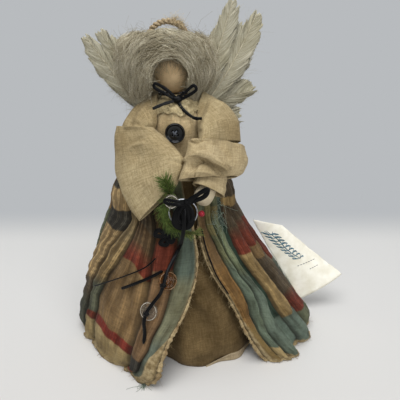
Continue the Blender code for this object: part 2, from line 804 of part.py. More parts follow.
def button(name, finish, radius, thickness, rim, holes):
    """A flat button with a raised rim and sewing holes, lying on Z = 0 at the origin."""
    profile = (
        (0.0, thickness * 0.55),
        (radius - 2 * rim, thickness * 0.55),
        (radius - rim, thickness),
        (radius - 0.3 * rim, thickness * 0.85),
        (radius, thickness * 0.45),
        (radius - 0.6 * rim, 0.0),
        (0.0, 0.0),
    )
    bm = bmesh.new()
    points = [bm.verts.new((r, 0, z)) for r, z in profile]
    edges = [bm.edges.new(pair) for pair in zip(points, points[1:])]
    bmesh.ops.spin(bm, geom=points + edges, angle=2 * math.pi, steps=18, axis=(0, 0, 1), cent=(0, 0, 0))
    bmesh.ops.remove_doubles(bm, verts=bm.verts, dist=1e-6)
    made = mesh_object(name, bm, finish)
    for i in range(holes):
        a = BUTTON_HOLE_TURN + 2 * math.pi * i / holes
        bm = bmesh.new()
        bmesh.ops.create_cone(
            bm, cap_ends=True, segments=8, radius1=BUTTON_HOLE, radius2=BUTTON_HOLE, depth=4 * thickness
        )
        shift = Vector((math.cos(a), math.sin(a), 0)) * BUTTON_HOLE_SPACING / math.sqrt(2)
        bmesh.ops.translate(bm, verts=bm.verts, vec=shift)
        cutter = mesh_object(f"{name}_hole_{i + 1}", bm, finish)
        cutter.parent = made
        cut_away(made, cutter)
    return made


def place_button(made, where, facing):
    made.location = where
    made.rotation_mode = "QUATERNION"
    made.rotation_quaternion = Vector(facing).to_track_quat("Z", "Y")


def button_stitches(button_made):
    """A cross of thread over the button's hollow face, with its ends down in the holes."""
    reach = BUTTON_HOLE_SPACING / math.sqrt(2)
    face = BUTTON_THICKNESS * 0.55
    parts = []
    for turn in (BUTTON_HOLE_TURN, BUTTON_HOLE_TURN + math.pi / 2):
        way = Vector((math.cos(turn), math.sin(turn), 0))
        route = [
            way * -reach + Vector((0, 0, face - 1.2 * MM)),
            way * -reach + Vector((0, 0, face + 0.7 * MM)),
            Vector((0, 0, face + 1.1 * MM)),
            way * reach + Vector((0, 0, face + 0.7 * MM)),
            way * reach + Vector((0, 0, face - 1.2 * MM)),
        ]
        parts.append(ribbon("stitch", route, 0.42 * MM, 0.42 * MM, 7, Vector((0, 1, 0.1)), 4, GREY))
    made = joined("button_stitches", parts, GREY)
    made.location = button_made.location
    made.rotation_mode = "QUATERNION"
    made.rotation_quaternion = button_made.rotation_quaternion
    return made


# Ribbons, laces and cords


def through(points, count, closed=False):
    """Evenly read points of a smooth curve that passes through the given points."""
    points = [Vector(p) for p in points]
    n = len(points)
    spans = n if closed else n - 1
    result = []
    for k in range(count):
        place = spans * k / (count if closed else count - 1)
        i = min(int(place), spans - 1)
        f = place - i
        if closed:
            p = [points[(i + o) % n] for o in (-1, 0, 1, 2)]
        else:
            p = [points[min(max(i + o, 0), n - 1)] for o in (-1, 0, 1, 2)]
        result.append(
            0.5
            * (
                2 * p[1]
                + (p[2] - p[0]) * f
                + (2 * p[0] - 5 * p[1] + 4 * p[2] - p[3]) * f * f
                + (3 * p[1] - p[0] - 3 * p[2] + p[3]) * f**3
            )
        )
    return result


def ribbon(name, route, half_width, half_thickness, count, facing, sides, finish):
    """A flattened tube along an open route, its flat side turned towards facing."""
    points = through(route, count)
    rings = []
    for k, point in enumerate(points):
        along = (points[min(k + 1, count - 1)] - points[max(k - 1, 0)]).normalized()
        wide = along.cross(facing).normalized()
        deep = wide.cross(along)
        rings.append(
            [
                point
                + wide * half_width * math.cos(2 * math.pi * j / sides)
                + deep * half_thickness * math.sin(2 * math.pi * j / sides)
                for j in range(sides)
            ]
        )
    return ring_loft(name, rings, finish)


def ball(name, where, radius, finish, steps=5, sides=8):
    half = radius if isinstance(radius, tuple) else (radius,) * 3
    return ring_loft(name, egg(Vector(where), half, steps, sides), finish)


def millimetres(points):
    return [Vector(p) * MM for p in points]


FRONT = Vector((0, -1, 0.15))


def neck_bow():
    """A ribbon round the neck with a knot, two loops and two tails at the front."""
    half = 1.5 * MM
    parts = [
        ball("knot", neck_point((0.3, -19.2, -0.1)), (2.9 * MM, 2.5 * MM, 2.6 * MM), BLACK_SATIN, 4, 6),
        ribbon("loop", [neck_point(p) for p in NECK_LOOP_LEFT], half, 0.6 * MM, 8, FRONT, 5, BLACK_SATIN),
        ribbon("loop", [neck_point(p) for p in NECK_LOOP_RIGHT], half, 0.6 * MM, 8, FRONT, 5, BLACK_SATIN),
        ribbon("tail", [neck_point(p) for p in NECK_TAIL_LEFT], half, 0.6 * MM, 4, FRONT, 5, BLACK_SATIN),
        ribbon("tail", [neck_point(p) for p in NECK_TAIL_RIGHT], half, 0.6 * MM, 6, FRONT, 5, BLACK_SATIN),
        neck_band(),
    ]
    return joined("neck_bow", parts, BLACK_SATIN)


NECK_BAND_RADIUS = 14.6 * MM


def neck_band():
    bm = bmesh.new()
    rings = []
    for k in range(16):
        a = 2 * math.pi * k / 16
        out = Vector((math.sin(a), -math.cos(a), 0))
        middle = Vector((-BODY_LEAN, -3 * MM, GAUZE_TOP + CLEAR + 1.2 * MM)) + out * NECK_BAND_RADIUS
        ring = []
        for j in range(4):
            b = 2 * math.pi * j / 4
            ring.append(bm.verts.new(middle + out * 0.8 * MM * math.cos(b) + Vector((0, 0, 1.2 * MM * math.sin(b)))))
        rings.append(ring)
    for k in range(16):
        low, high = rings[k], rings[(k + 1) % 16]
        for j in range(4):
            i = (j + 1) % 4
            bm.faces.new((low[j], low[i], high[i], high[j]))
    return mesh_object("band", bm, BLACK_SATIN)


NECK_LOOP_LEFT = (
    (0, -19.4, -0.3),
    (-7, -22, 2),
    (-16, -23, 7.1),
    (-15, -23, 10),
    (-7, -22, 6.1),
    (0, -19.4, 0.9),
)
NECK_LOOP_RIGHT = (
    (0.6, -19.4, 0.7),
    (7, -22, 4.1),
    (13, -23, 8.1),
    (15, -23, 5.5),
    (8, -22, 1.1),
    (0.6, -19.4, -0.5),
)
NECK_TAIL_LEFT = (
    (0.2, -19.4, -0.5),
    (-8.6, -24, -4.1),
    (-17.9, -27, -8.5),
)
NECK_TAIL_RIGHT = (
    (0.6, -19.4, -0.9),
    (5.5, -24, -8.9),
    (13, -27.5, -14.5),
    (18.5, -28.5, -16.1),
)


# Wreath


def ring_point(angle, radius):
    """A point at an angle in degrees round the wreath, from 0 at the right and up."""
    a = math.radians(angle)
    return waist_point(WREATH_CENTRE) + Vector((radius * math.cos(a), 0, radius * math.sin(a)))


def wreath_wire(extra=0.0, name="wreath_wire"):
    bm = bmesh.new()
    rings = []
    for k in range(20):
        angle = 360 * k / 20
        middle = ring_point(angle, WREATH_RADIUS)
        out = (middle - waist_point(WREATH_CENTRE)).normalized()
        ring = []
        for j in range(5):
            b = 2 * math.pi * j / 5
            reach = WREATH_WIRE + extra
            ring.append(bm.verts.new(middle + out * reach * math.cos(b) + Vector((0, reach * math.sin(b), 0))))
        rings.append(ring)
    for k in range(20):
        low, high = rings[k], rings[(k + 1) % 20]
        for j in range(5):
            i = (j + 1) % 5
            bm.faces.new((low[j], low[i], high[i], high[j]))
    return mesh_object(name, bm, WIRE)


def brush(name, route, reach, count, finish, sides=8):
    """Pine needles round a stem: rings of points that stand out and draw in by turns."""
    points = through(route, count)
    rings = []
    for k, point in enumerate(points):
        along = (points[min(k + 1, count - 1)] - points[max(k - 1, 0)]).normalized()
        wide = along.cross(Vector((0, -1, 0.1))).normalized()
        deep = wide.cross(along)
        end = 0.55 if k in (0, count - 1) else 1.0
        ring = []
        for j in range(sides):
            a = 2 * math.pi * (j + 0.5 * (k % 2)) / sides
            out = reach * end * ((1.0 if j % 2 else 0.62) if k % 2 else 0.34)
            ring.append(point + (wide * math.cos(a) + deep * math.sin(a)) * out + along * (0.5 * MM if k % 2 else 0))
        rings.append(ring)
    return ring_loft(name, rings, finish)


GARLAND_LINE = WREATH_RADIUS + WREATH_WIRE + CLEAR + GARLAND_RADIUS


def pine():
    back = Vector((0, 1.2 * MM, 0))
    arc = [ring_point(angle, GARLAND_LINE) + back for angle in (118, 140, 165, 190, 215, 240, 262)]
    brush("pine_garland", arc, GARLAND_RADIUS, 21, PINE)
    top = [wreath_point(p) for p in ((-8.7, 1.2, 16), (-10.3, 0.4, 21), (-12.7, -0.4, 27.5))]
    brush("pine_sprig_top", top, 3.2 * MM, 7, PINE, 6)
    low = [wreath_point(p) for p in ((-1.7, 1.2, -16.2), (4.5, 0.2, -17.4), (10.5, -0.2, -16))]
    brush("pine_sprig_low", low, 2.8 * MM, 7, PINE, 6)


def berries():
    ball("red_berry", ring_point(-4, WREATH_RADIUS + WREATH_WIRE + CLEAR + BERRY_RADIUS), BERRY_RADIUS, BERRY, 5, 9)


def hand_bow():
    """The ribbon that ties the wreath to the hand: a knot, a loop on each side and one that hangs."""
    parts = [
        ball("knot", wreath_point((2.4, -2.9, 9.3)), (2.8 * MM, 2.4 * MM, 2.6 * MM), BLACK_SATIN, 4, 6),
        ribbon("loop", [wreath_point(p) for p in HAND_LOOP_RIGHT], 1.7 * MM, 0.6 * MM, 8, FRONT, 5, BLACK_SATIN),
        ribbon("loop", [wreath_point(p) for p in HAND_LOOP_LEFT], 1.2 * MM, 0.6 * MM, 8, FRONT, 5, BLACK_SATIN),
        ribbon("loop", [wreath_point(p) for p in HAND_LOOP_LOW], 1.7 * MM, 0.6 * MM, 10, FRONT, 5, BLACK_SATIN),
    ]
    return joined("wreath_bow", parts, BLACK_SATIN)


HAND_LOOP_RIGHT = (
    (3, -4, 9.2),
    (7.5, -5, 13.4),
    (16.5, -5, 19.4),
    (18, -5, 18),
    (14.5, -5, 13.6),
    (3.5, -4, 8.8),
)
HAND_LOOP_LEFT = (
    (2, -4, 9.6),
    (-2.5, -7.4, 11.2),
    (-11.5, -7.6, 12.8),
    (-11.5, -7.6, 10.2),
    (-2.5, -7.4, 9),
    (2, -4, 9),
)
HAND_LOOP_LOW = (
    (1.9, -3.6, 8.5),
    (-4, -3.4, 1),
    (-5.7, -3.4, -6.5),
    (-1, -3.4, -10),
    (4.5, -3.4, -8.5),
    (6, -3.4, -1),
    (3.1, -3.6, 8),
)


def on_quilt(direction, share, off):
    """A point off the quilt's outside, at a direction in degrees and a share of the quilt's height."""
    z = share * QUILT_TOP
    left = np.radians(smooth_curve(OPENING_LEFT, share))
    right = np.radians(smooth_curve(OPENING_RIGHT, share)) - 2 * math.pi
    turn = math.radians(direction)
    if turn > left:
        turn -= 2 * math.pi
    u = (turn - left) / (right - left)
    near = np.clip(u + np.linspace(-0.012, 0.012, 7), 0, 1)
    row = min(int(share * (QUILT_ROWS - 1)), QUILT_ROWS - 2)
    radii = []
    for k in (row, row + 1):
        level = k / (QUILT_ROWS - 1)
        radii.append(float(np.max(quilt_inner(quilt_turn(near, level), near, level * QUILT_TOP))))
    radius = radii[0] + (radii[1] - radii[0]) * (share * (QUILT_ROWS - 1) - row) + QUILT_THICKNESS + off
    return Vector(tuple(around(radius, turn, z)))


ROSETTE_LOOPS = (  # from the rosette's middle, in millimetres
    ((0, 0, 0), (-6, -1, 5), (-8.5, -1, 0.5), (0, 0, -1)),
    ((0, 0, -1), (-5, -1, -6), (0, -1, -7.5), (1, 0, -1)),
    ((1, 0, 0), (5.5, -1, 4), (7.5, -1, 0), (1, 0, -1)),
)


def rosette():
    """Crumpled ribbon loops under the wreath, against the skirt."""
    middle = on_quilt(-13, 0.7039, 1.6 * MM)
    parts = [ball("knot", middle, (3.2 * MM, 2.2 * MM, 3 * MM), BLACK_SATIN, 4, 6)]
    for loop in ROSETTE_LOOPS:
        route = [middle + point for point in millimetres(loop)]
        parts.append(ribbon("loop", route, 1.4 * MM, 0.6 * MM, 6, FRONT, 4, BLACK_SATIN))
    return joined("ribbon_rosette", parts, BLACK_SATIN)


def cord(name, points, width, finish=None):
    """A cord through the points: a curve with a round section and closed ends."""
    length = sum((b - a).length for a, b in zip(points, points[1:]))
    route = through(points, max(6, round(length / (3 * max(width, 1.8 * MM)))))
    curve = bpy.data.curves.new(name, "CURVE")
    curve.dimensions = "3D"
    curve.bevel_depth = width / 2
    curve.bevel_resolution = 1
    curve.use_fill_caps = True
    spline = curve.splines.new("POLY")
    spline.points.add(len(route) - 1)
    for point, place in zip(spline.points, route):
        point.co = (*place, 1)
    curve.materials.append(finish or BLACK_SATIN)
    made = bpy.data.objects.new(name, curve)
    bpy.context.scene.collection.objects.link(made)
    return made


LACE_OFF = LACE_WIDTH / 2 + 2 * CLEAR
CORD_OFF = CORD_WIDTH / 2 + 2 * CLEAR


def laces():
    over = LACE_OFF + CLEAR_BUTTON_THICKNESS + 4 * CLEAR
    start = ((1.9, -4.4, 5), (1.1, -6.4, -2), (0.5, -6.4, -11), (-1.7, -2, -24))
    long_route = [wreath_point(p) for p in start] + [
        on_quilt(-5, 0.6346, LACE_OFF),
        on_quilt(-12.5, 0.567, over + 1 * MM),
        on_quilt(-15, 0.5168, over + 3.3 * MM),
        on_quilt(-18.5, 0.4693, over),
        on_quilt(-23.5, 0.4246, over),
        on_quilt(-27.5, 0.3799, over),
        on_quilt(-29, 0.3352, over),
        on_quilt(-30, 0.2793, LACE_OFF),
        on_quilt(-30.5, 0.2291, LACE_OFF),
    ]
    cord("long_lace", long_route, LACE_WIDTH)
    tail = ((-17.5, 0.5559), (-26, 0.5251), (-38, 0.4804), (-50, 0.4302))
    cord("lace_tail", [on_quilt(a, share, LACE_OFF - CLEAR) for a, share in tail], LACE_WIDTH)
    left = ((-23, 0.6034), (-32, 0.5559), (-53, 0.4721), (-74, 0.3631))
    cord("thin_cord_left", [on_quilt(a, share, CORD_OFF) for a, share in left], CORD_WIDTH)
    right = ((22, 0.7151), (22, 0.6313), (23.5, 0.5642), (26, 0.4916), (32, 0.4022))
    cord("thin_cord_right", [on_quilt(a, share, CORD_OFF) for a, share in right], CORD_WIDTH)


def clear_buttons():
    for name, direction, share, lean in (
        ("clear_button_low", -27.5, 0.3771, 0),
        ("clear_button_middle", -14.5, 0.5168, 0.25),
    ):
        made = button(name, CLEAR_PLASTIC, CLEAR_BUTTON_RADIUS, CLEAR_BUTTON_THICKNESS, 1.2 * MM, 0 if lean else 2)
        where = on_quilt(direction, share, CLEAR * 2)
        up = on_quilt(direction, share + 0.04, CLEAR * 2)
        side = on_quilt(direction + 8, share, CLEAR * 2)
        facing = (side - where).cross(up - where).normalized()
        place_button(made, where + facing * lean * 4 * MM, facing + Vector((lean, 0, 0)))
    made = button("clear_button_top", CLEAR_PLASTIC, 0.7 * CLEAR_BUTTON_RADIUS, 1.8 * MM, 1.0 * MM, 0)
    place_button(made, wreath_point((-8, -4.2, 10.6)), (0, -1, 0))


# Paper tag

TAG_LEFT = ((116.2, 0.5905, 10.12 * MM), (106.48, 0.0749, 3.3 * MM))  # its left corners: direction, share of the skirt's height, distance off it
TAG_ACROSS = ((32, 10, -10.7), (44.5, 7.5, 26.1))  # from each left corner to the right one, in millimetres


def hang_tag():
    """A curled card that leans on the skirt: a sheet between four corners, bowed across."""
    a, c = (on_quilt(*corner) for corner in TAG_LEFT)
    b, d = (corner + across for corner, across in zip((a, c), millimetres(TAG_ACROSS)))
    facing = (b - a).cross(c - a).normalized()
    if facing.y > 0:
        facing = -facing
    front, back = [], []
    for v in np.linspace(0, 1, 6):
        row = []
        for w in np.linspace(0, 1, 4):
            low, high = a.lerp(c, float(v)), b.lerp(d, float(v))
            row.append(low.lerp(high, float(w)) + facing * 3 * MM * (4 * w * (1 - w) - 1.2 * math.sin(math.pi * v)))
        front.append(row)
        back.append([p - facing * TAG_THICKNESS for p in row])
    return grid_sheet("hang_tag", front, back, CARD)


# Colours from the photograph
clear_scene()
MUSLIN = material("muslin", (0.62, 0.49, 0.33))
BROWN_MUSLIN = material("brown_muslin", (0.40, 0.29, 0.17))
CREAM = material("cream_cotton", (0.68, 0.56, 0.38))
QUILT = material("quilt", (0.36, 0.30, 0.22))
WOOL = material("wool", (0.50, 0.47, 0.41))
STRAW = material("straw", (0.55, 0.40, 0.22))
FEATHER = material("feather", (0.72, 0.71, 0.66))
BLACK = material("black_gloss", (0.01, 0.01, 0.012), 0.25)
BLACK_SATIN = material("black_satin", (0.008, 0.008, 0.01), 0.5)
GAUZE = material("gauze", (0.70, 0.60, 0.44))
GREY = material("grey_thread", (0.33, 0.33, 0.33))
WIRE = material("silver_wire", (0.72, 0.73, 0.75), 0.3, 1.0)
PINE = material("pine", (0.07, 0.13, 0.03))
BERRY = material("berry_red", (0.45, 0.02, 0.03), 0.4)
CLEAR_PLASTIC = material("clear_plastic", (0.75, 0.76, 0.72), 0.15, 0.0, 0.5)
CARD = material("card", (0.80, 0.78, 0.70))


def main():
    cutter = chest_cutter()
    stuffed_body()
    underskirt()
    quilt_overskirt()
    jacket_bodice()
    neck_gauze()
    for side, stations, cuff, folds in (
        ("left", SLEEVE_LEFT, CUFF_LEFT, 0.8 * MM),
        ("right", SLEEVE_RIGHT, CUFF_RIGHT, 1.2 * MM),
    ):
        sleeve = cloth_tube("sleeve_" + side, stations, CREAM)
        cloth_tube("cuff_" + side, cuff, CREAM, CUFF_SIDES, folds=folds)
        cut_away(sleeve, cutter)
        cut_away(sleeve, tube_hull("cuff_hull_" + side, cuff, CUFF_SIDES, folds))
    cloth_tube("wrist_band", WRIST_BAND, CREAM, 14)
    arm("arm_left", ARM_LEFT, HIDDEN_HAND_RADIUS, cutter)
    right = arm("arm_right", ARM_RIGHT, HAND_RADIUS, cutter)
    cut_away(right, wreath_wire(CLEAR, "wire_cutter"))
    head()
    halo()
    hair()
    wings()
    made = button("chest_button", BLACK, BUTTON_RADIUS, BUTTON_THICKNESS, 1.6 * MM, 4)
    place_button(made, (-BODY_LEAN - BUTTON_SHIFT, -CHEST_RADIUS - CLEAR, WAIST_HEIGHT + BUTTON_HEIGHT), (0, -1, 0))
    button_stitches(made)
    neck_bow()
    wreath_wire()
    pine()
    berries()
    hand_bow()
    rosette()
    laces()
    clear_buttons()
    hang_tag()


main()
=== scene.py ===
# %% [markdown]
# # A standing cloth angel
# This lesson dresses a plain solid model of a folk-art doll: quilted skirt, muslin jacket, wool hair, feathers, wreath.
# Every piece is a surface worked out with numpy, and every finish is a small tree of shader nodes.
# The solid model is the frame: it fixes where each piece goes, so nothing has to be fitted by eye.

# %% Load the frame
import functools
import json
import math

import bmesh
import bpy
import numpy as np
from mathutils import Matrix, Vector

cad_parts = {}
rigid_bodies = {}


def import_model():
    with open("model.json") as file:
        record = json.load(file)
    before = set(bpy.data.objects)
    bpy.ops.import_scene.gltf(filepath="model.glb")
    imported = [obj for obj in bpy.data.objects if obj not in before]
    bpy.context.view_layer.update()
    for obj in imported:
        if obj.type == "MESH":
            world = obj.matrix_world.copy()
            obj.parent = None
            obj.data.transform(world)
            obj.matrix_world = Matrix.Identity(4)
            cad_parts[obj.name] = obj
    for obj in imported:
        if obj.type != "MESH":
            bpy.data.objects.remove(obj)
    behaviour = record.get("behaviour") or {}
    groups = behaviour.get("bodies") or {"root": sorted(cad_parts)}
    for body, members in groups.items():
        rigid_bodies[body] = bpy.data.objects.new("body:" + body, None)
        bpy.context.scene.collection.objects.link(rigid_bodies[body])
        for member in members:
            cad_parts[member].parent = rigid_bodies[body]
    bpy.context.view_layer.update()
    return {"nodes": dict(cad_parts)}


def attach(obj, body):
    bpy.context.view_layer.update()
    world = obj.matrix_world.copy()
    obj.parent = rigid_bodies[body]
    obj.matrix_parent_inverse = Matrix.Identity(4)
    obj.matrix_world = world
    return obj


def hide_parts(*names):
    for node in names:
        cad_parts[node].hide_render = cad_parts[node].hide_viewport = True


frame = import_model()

MM = 0.001
random = np.random.default_rng(11)
print("nodes in the frame:", len(frame["nodes"]))

# %% [markdown]
# ## Camera
# The photograph looks down on the doll by 20 degrees from about a third of a metre away.


# %% Camera
def linked(name, data):
    """A new object with this data, in the scene."""
    made = bpy.data.objects.new(name, data)
    bpy.context.scene.collection.objects.link(made)
    return made


LOOKS_DOWN, PICTURE, SENSOR, LENS = 20, 400, 36, 36.1
camera = linked("Camera", bpy.data.cameras.new("Camera"))
camera.data.sensor_width, camera.data.lens, camera.data.clip_start = SENSOR, LENS, 0.01
camera.location = (0, -0.336, 0.26)
camera.rotation_euler = (math.radians(90 - LOOKS_DOWN), 0, 0)
bpy.context.scene.camera = camera
print("camera at", tuple(camera.location))

# %% [markdown]
# ## Numpy tools
# A surface is a grid of points. These helpers join a grid into faces, turn them outwards and lay a map in metres on
# them, so that a weave keeps its real size on every piece of cloth.


# %% Curves and small vector tools
def unit(v):
    """Each vector divided by its length."""
    return v / np.maximum(np.linalg.norm(v, axis=-1, keepdims=True), 1e-12)


def full_turn(count):
    """Directions in equal steps once round, without the last one that would be the first again."""
    return np.linspace(0, 2 * math.pi, count, endpoint=False)


def smooth_line(points, count):
    """A curve through the points: on each span the cubic whose end slopes are half the chord of the neighbours."""
    p = np.asarray(points, float)
    place = np.linspace(0, len(p) - 1, count)
    i = np.minimum(place.astype(int), len(p) - 2)
    f = (place - i).reshape((-1,) + (1,) * (p.ndim - 1))
    a, b, c, d = p[np.maximum(i - 1, 0)], p[i], p[i + 1], p[np.minimum(i + 2, len(p) - 1)]
    return 0.5 * (2 * b + (c - a) * f + (2 * a - 5 * b + 4 * c - d) * f**2 + (3 * b - a - 3 * c + d) * f**3)


def running(steps):
    """The places reached after each step, with zero as the first."""
    return np.concatenate(([0], np.cumsum(steps)))


def length_along(line):
    """The distance walked along a line of points up to each of them."""
    return running(np.linalg.norm(np.diff(line, axis=0), axis=1))


def read(pairs, at):
    """A smooth line through (place, value) pairs, read at the places given: cubic with the slopes of its neighbours."""
    places, values = np.transpose(np.asarray(pairs, float))
    slopes = np.gradient(values, places)
    at = np.clip(np.asarray(at, float), places[0], places[-1])
    k = np.clip(np.searchsorted(places, at, side="right") - 1, 0, len(places) - 2)
    gap = places[k + 1] - places[k]
    t = (at - places[k]) / gap
    return (
        values[k] * (1 + 2 * t) * (1 - t) ** 2
        + values[k + 1] * t * t * (3 - 2 * t)
        + gap * (slopes[k] * t * (1 - t) ** 2 - slopes[k + 1] * t * t * (1 - t))
    )


def bump(x):
    """A rounded hill: one at x = 0 and nothing beyond x = 1 either way, half a cosine wave high."""
    return np.where(np.abs(x) < 1, 0.5 + 0.5 * np.cos(np.pi * np.clip(x, -1, 1)), 0.0)


def ripple(p, size, seed):
    """A soft random field from -1 to 1: eight sine waves of about the given wavelength, in random directions."""
    dice = np.random.default_rng(seed)
    ways = unit(dice.normal(size=(8, 3))) * dice.uniform(0.6, 1.5, (8, 1)) * 2 * math.pi / size
    return np.sin(p @ ways.T + dice.uniform(0, 7, 8)).sum(-1) / 4


print("a ripple value:", round(float(ripple(np.zeros((1, 3)), 0.01, 1)[0]), 3))


# %% From a grid of points to a mesh
def grid_cells(rows, columns, wrap):
    """Row and column numbers of the four corners of each cell; with wrap there is a cell after the last column too."""
    r = np.arange(rows - 1)[:, None]
    c = np.arange(columns if wrap else columns - 1)[None, :]
    r, c = np.broadcast_arrays(r, c)
    return np.stack((r, r, r + 1, r + 1), -1), np.stack((c, c + 1, c + 1, c), -1)


def grid_faces(rows, columns, wrap):
    """Four point numbers for each cell of the grid: row times columns + column."""
    r, c = grid_cells(rows, columns, wrap)
    return (r * columns + c % columns).reshape(-1, 4)


def grid_map(rows, columns, wrap, uv):
    """The map place of each cell's corners, from a grid of map places with one more column where the grid wraps."""
    return uv[grid_cells(rows, columns, wrap)].reshape(-1, 2)


def grid_steps(points, wrap):
    """Distances to the next point in each row, and to the next row; with wrap the first column comes again last."""
    closed = np.concatenate((points, points[:, :1]), 1) if wrap else points
    return [np.linalg.norm(np.diff(closed, axis=axis), axis=2) for axis in (1, 0)]


def metre_map(points, wrap):
    """Map places in metres: u is the mean distance along the rows, and v the mean distance along the columns."""
    across, along = grid_steps(points, wrap)
    return np.stack(np.meshgrid(running(across.mean(0)), running(along[:, : points.shape[1]].mean(1))), -1)


def new_object(name, points, faces, uv, material):
    """A mesh object with its corners' map places in a map named cloth, and smooth faces."""
    mesh = bpy.data.meshes.new(name)
    mesh.from_pydata(points.tolist(), [], faces if isinstance(faces, list) else faces.tolist())
    layer = mesh.uv_layers.new(name="cloth")
    spots = np.zeros((len(mesh.loops), 2))
    spots[: len(uv)] = uv
    layer.data.foreach_set("uv", spots.astype(np.float32).ravel())
    mesh.shade_smooth()
    mesh.materials.append(material)
    return linked(name, mesh)


def looks_out(points, faces, middles):
    """Whether faces look away from the middles, one for each point: the sum of normal times offset is positive."""
    p = points.reshape(-1, 3)[faces]
    normals = np.cross(p[:, 2] - p[:, 0], p[:, 3] - p[:, 1])
    return float((normals * (p.mean(1) - middles.reshape(-1, 3)[faces].mean(1))).sum()) > 0


def surface(name, points, material, wrap=True, caps=False):
    """One grid as a mesh that looks outwards. With caps the first and last rows, which wrap, get a face each."""
    rows, columns = points.shape[:2]
    faces = grid_faces(rows, columns, wrap)
    uv = grid_map(rows, columns, wrap, metre_map(points, wrap))
    middles = points.mean(1, keepdims=True) + 0 * points if wrap else around(0.0, 0.0, points[..., 2])
    flip = not looks_out(points, faces, middles)
    if flip:
        faces, uv = faces[:, ::-1], uv.reshape(-1, 4, 2)[:, ::-1].reshape(-1, 2)
    faces = faces.tolist()
    if caps:
        ends = [list(range(columns))[::-1], list(range((rows - 1) * columns, rows * columns))]
        faces += [end[::-1] for end in ends] if flip else ends
    return new_object(name, points.reshape(-1, 3), faces, uv, material)


def ride(made, slot, *nodes):
    """The piece rides on the root body and stands for the nodes named, which it hides; the slot is not used."""
    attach(made, "root")
    if nodes:
        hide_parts(*nodes)
    print(made.name, "faces:", len(made.data.polygons) if made.type == "MESH" else "curve")
    return made


def thicken(made, wall):
    """Gives an open sheet its wall with Solidify, from the sheet inwards."""
    solid = made.modifiers.new("Wall", "SOLIDIFY")
    solid.thickness, solid.offset, solid.use_even_offset = wall, -1, False
    return made


# %% Tubes, and many of them at once
def tube_rings(line, wide, deep, sides=10, facing=(0, -1, 0.15), blunt=3):
    """Rings along a line: an ellipse of half widths wide and deep, its flat side turned to facing, narrow at both ends.

    A ring point is centre + wide cos(a) side + deep sin(a) front, where side = along x facing, front = along x side.
    """
    line = np.asarray(line, float)
    along = unit(np.gradient(line, axis=0))
    side = unit(np.cross(along, np.broadcast_to(facing, line.shape)))
    front = np.cross(along, side)
    steps = np.arange(len(line))
    near_end = np.minimum(steps, len(line) - 1 - steps)
    ends = np.sqrt(np.clip((near_end + 0.25) / blunt, 0, 1)) if blunt else np.ones(len(line))
    a = full_turn(sides)[None, :, None]
    wide, deep = ((np.broadcast_to(half, len(line)) * ends)[:, None, None] for half in (wide, deep))
    return line[:, None] + wide * np.cos(a) * side[:, None] + deep * np.sin(a) * front[:, None]


def many_tubes(name, lines, wide, deep, facing, material, sides=3, tip=0.25):
    """Thin closed tubes along many lines at once, from an array of (count, stations, 3).

    The half width falls from wide at the root to tip times that at the end. Each tube has a face on both ends.
    """
    n, k = lines.shape[:2]
    along = unit(np.gradient(lines, axis=1))
    side = unit(np.cross(along, np.broadcast_to(facing, lines.shape)))
    front = np.cross(along, side)
    a = full_turn(sides)[None, None, :, None]
    thin = np.linspace(1, tip, k)[None, :, None, None]
    wide, deep = (np.broadcast_to(np.asarray(v, float).reshape(-1, 1, 1, 1), (n, 1, 1, 1)) for v in (wide, deep))
    points = lines[:, :, None] + thin * (wide * np.cos(a) * side[:, :, None] + deep * np.sin(a) * front[:, :, None])
    one = grid_faces(k, sides, True)
    shift = (np.arange(n) * k * sides)[:, None, None]
    walls = (one[None] + shift).reshape(-1, 4)
    ends = np.array([list(range(sides))[::-1], list(range((k - 1) * sides, k * sides))])
    caps = (ends[None] + shift).reshape(-1, sides)
    steps = np.linalg.norm(np.diff(lines, axis=1), axis=2).mean()
    uv = grid_map(k, sides, True, np.stack(np.meshgrid(np.arange(sides + 1) * 0.0005, np.arange(k) * steps), -1))
    return new_object(name, points.reshape(-1, 3), walls.tolist() + caps.tolist(), np.tile(uv, (n, 1)), material)


def merged(name, parts):
    """Several made pieces as one mesh object, which keeps the material of each."""
    bm = bmesh.new()
    mesh = bpy.data.meshes.new(name)
    materials = list(dict.fromkeys(part.data.materials[0] for part in parts))
    for part in parts:
        start = len(bm.faces)
        bm.from_mesh(part.data)
        bm.faces.ensure_lookup_table()
        for face in bm.faces[start:]:
            face.material_index = materials.index(part.data.materials[0])
        bpy.data.objects.remove(part, do_unlink=True)
    bm.to_mesh(mesh)
    bm.free()
    for material in materials:
        mesh.materials.append(material)
    return linked(name, mesh)


# %% [markdown]
# ## Finishes
# Cloth is never one colour. Each fabric here has a plain weave from two crossing sine waves on the piece's own map,
# slow stains from noise on object coordinates, and a bump from the same weave.


# %% Node tools
def linear(code):
    """A colour written as six hex digits, turned from screen values into the linear ones that shaders use."""
    c = np.array([int(code[i : i + 2], 16) for i in (0, 2, 4)]) / 255
    return (*np.where(c <= 0.04045, c / 12.92, ((c + 0.055) / 1.055) ** 2.4).tolist(), 1.0)


def rgba(colour):
    """A colour given as six hex digits, as one grey, or as red, green, blue and perhaps alpha."""
    if isinstance(colour, str):
        return linear(colour)
    return colour if np.size(colour) == 4 else (*np.broadcast_to(colour, 3).tolist(), 1.0)


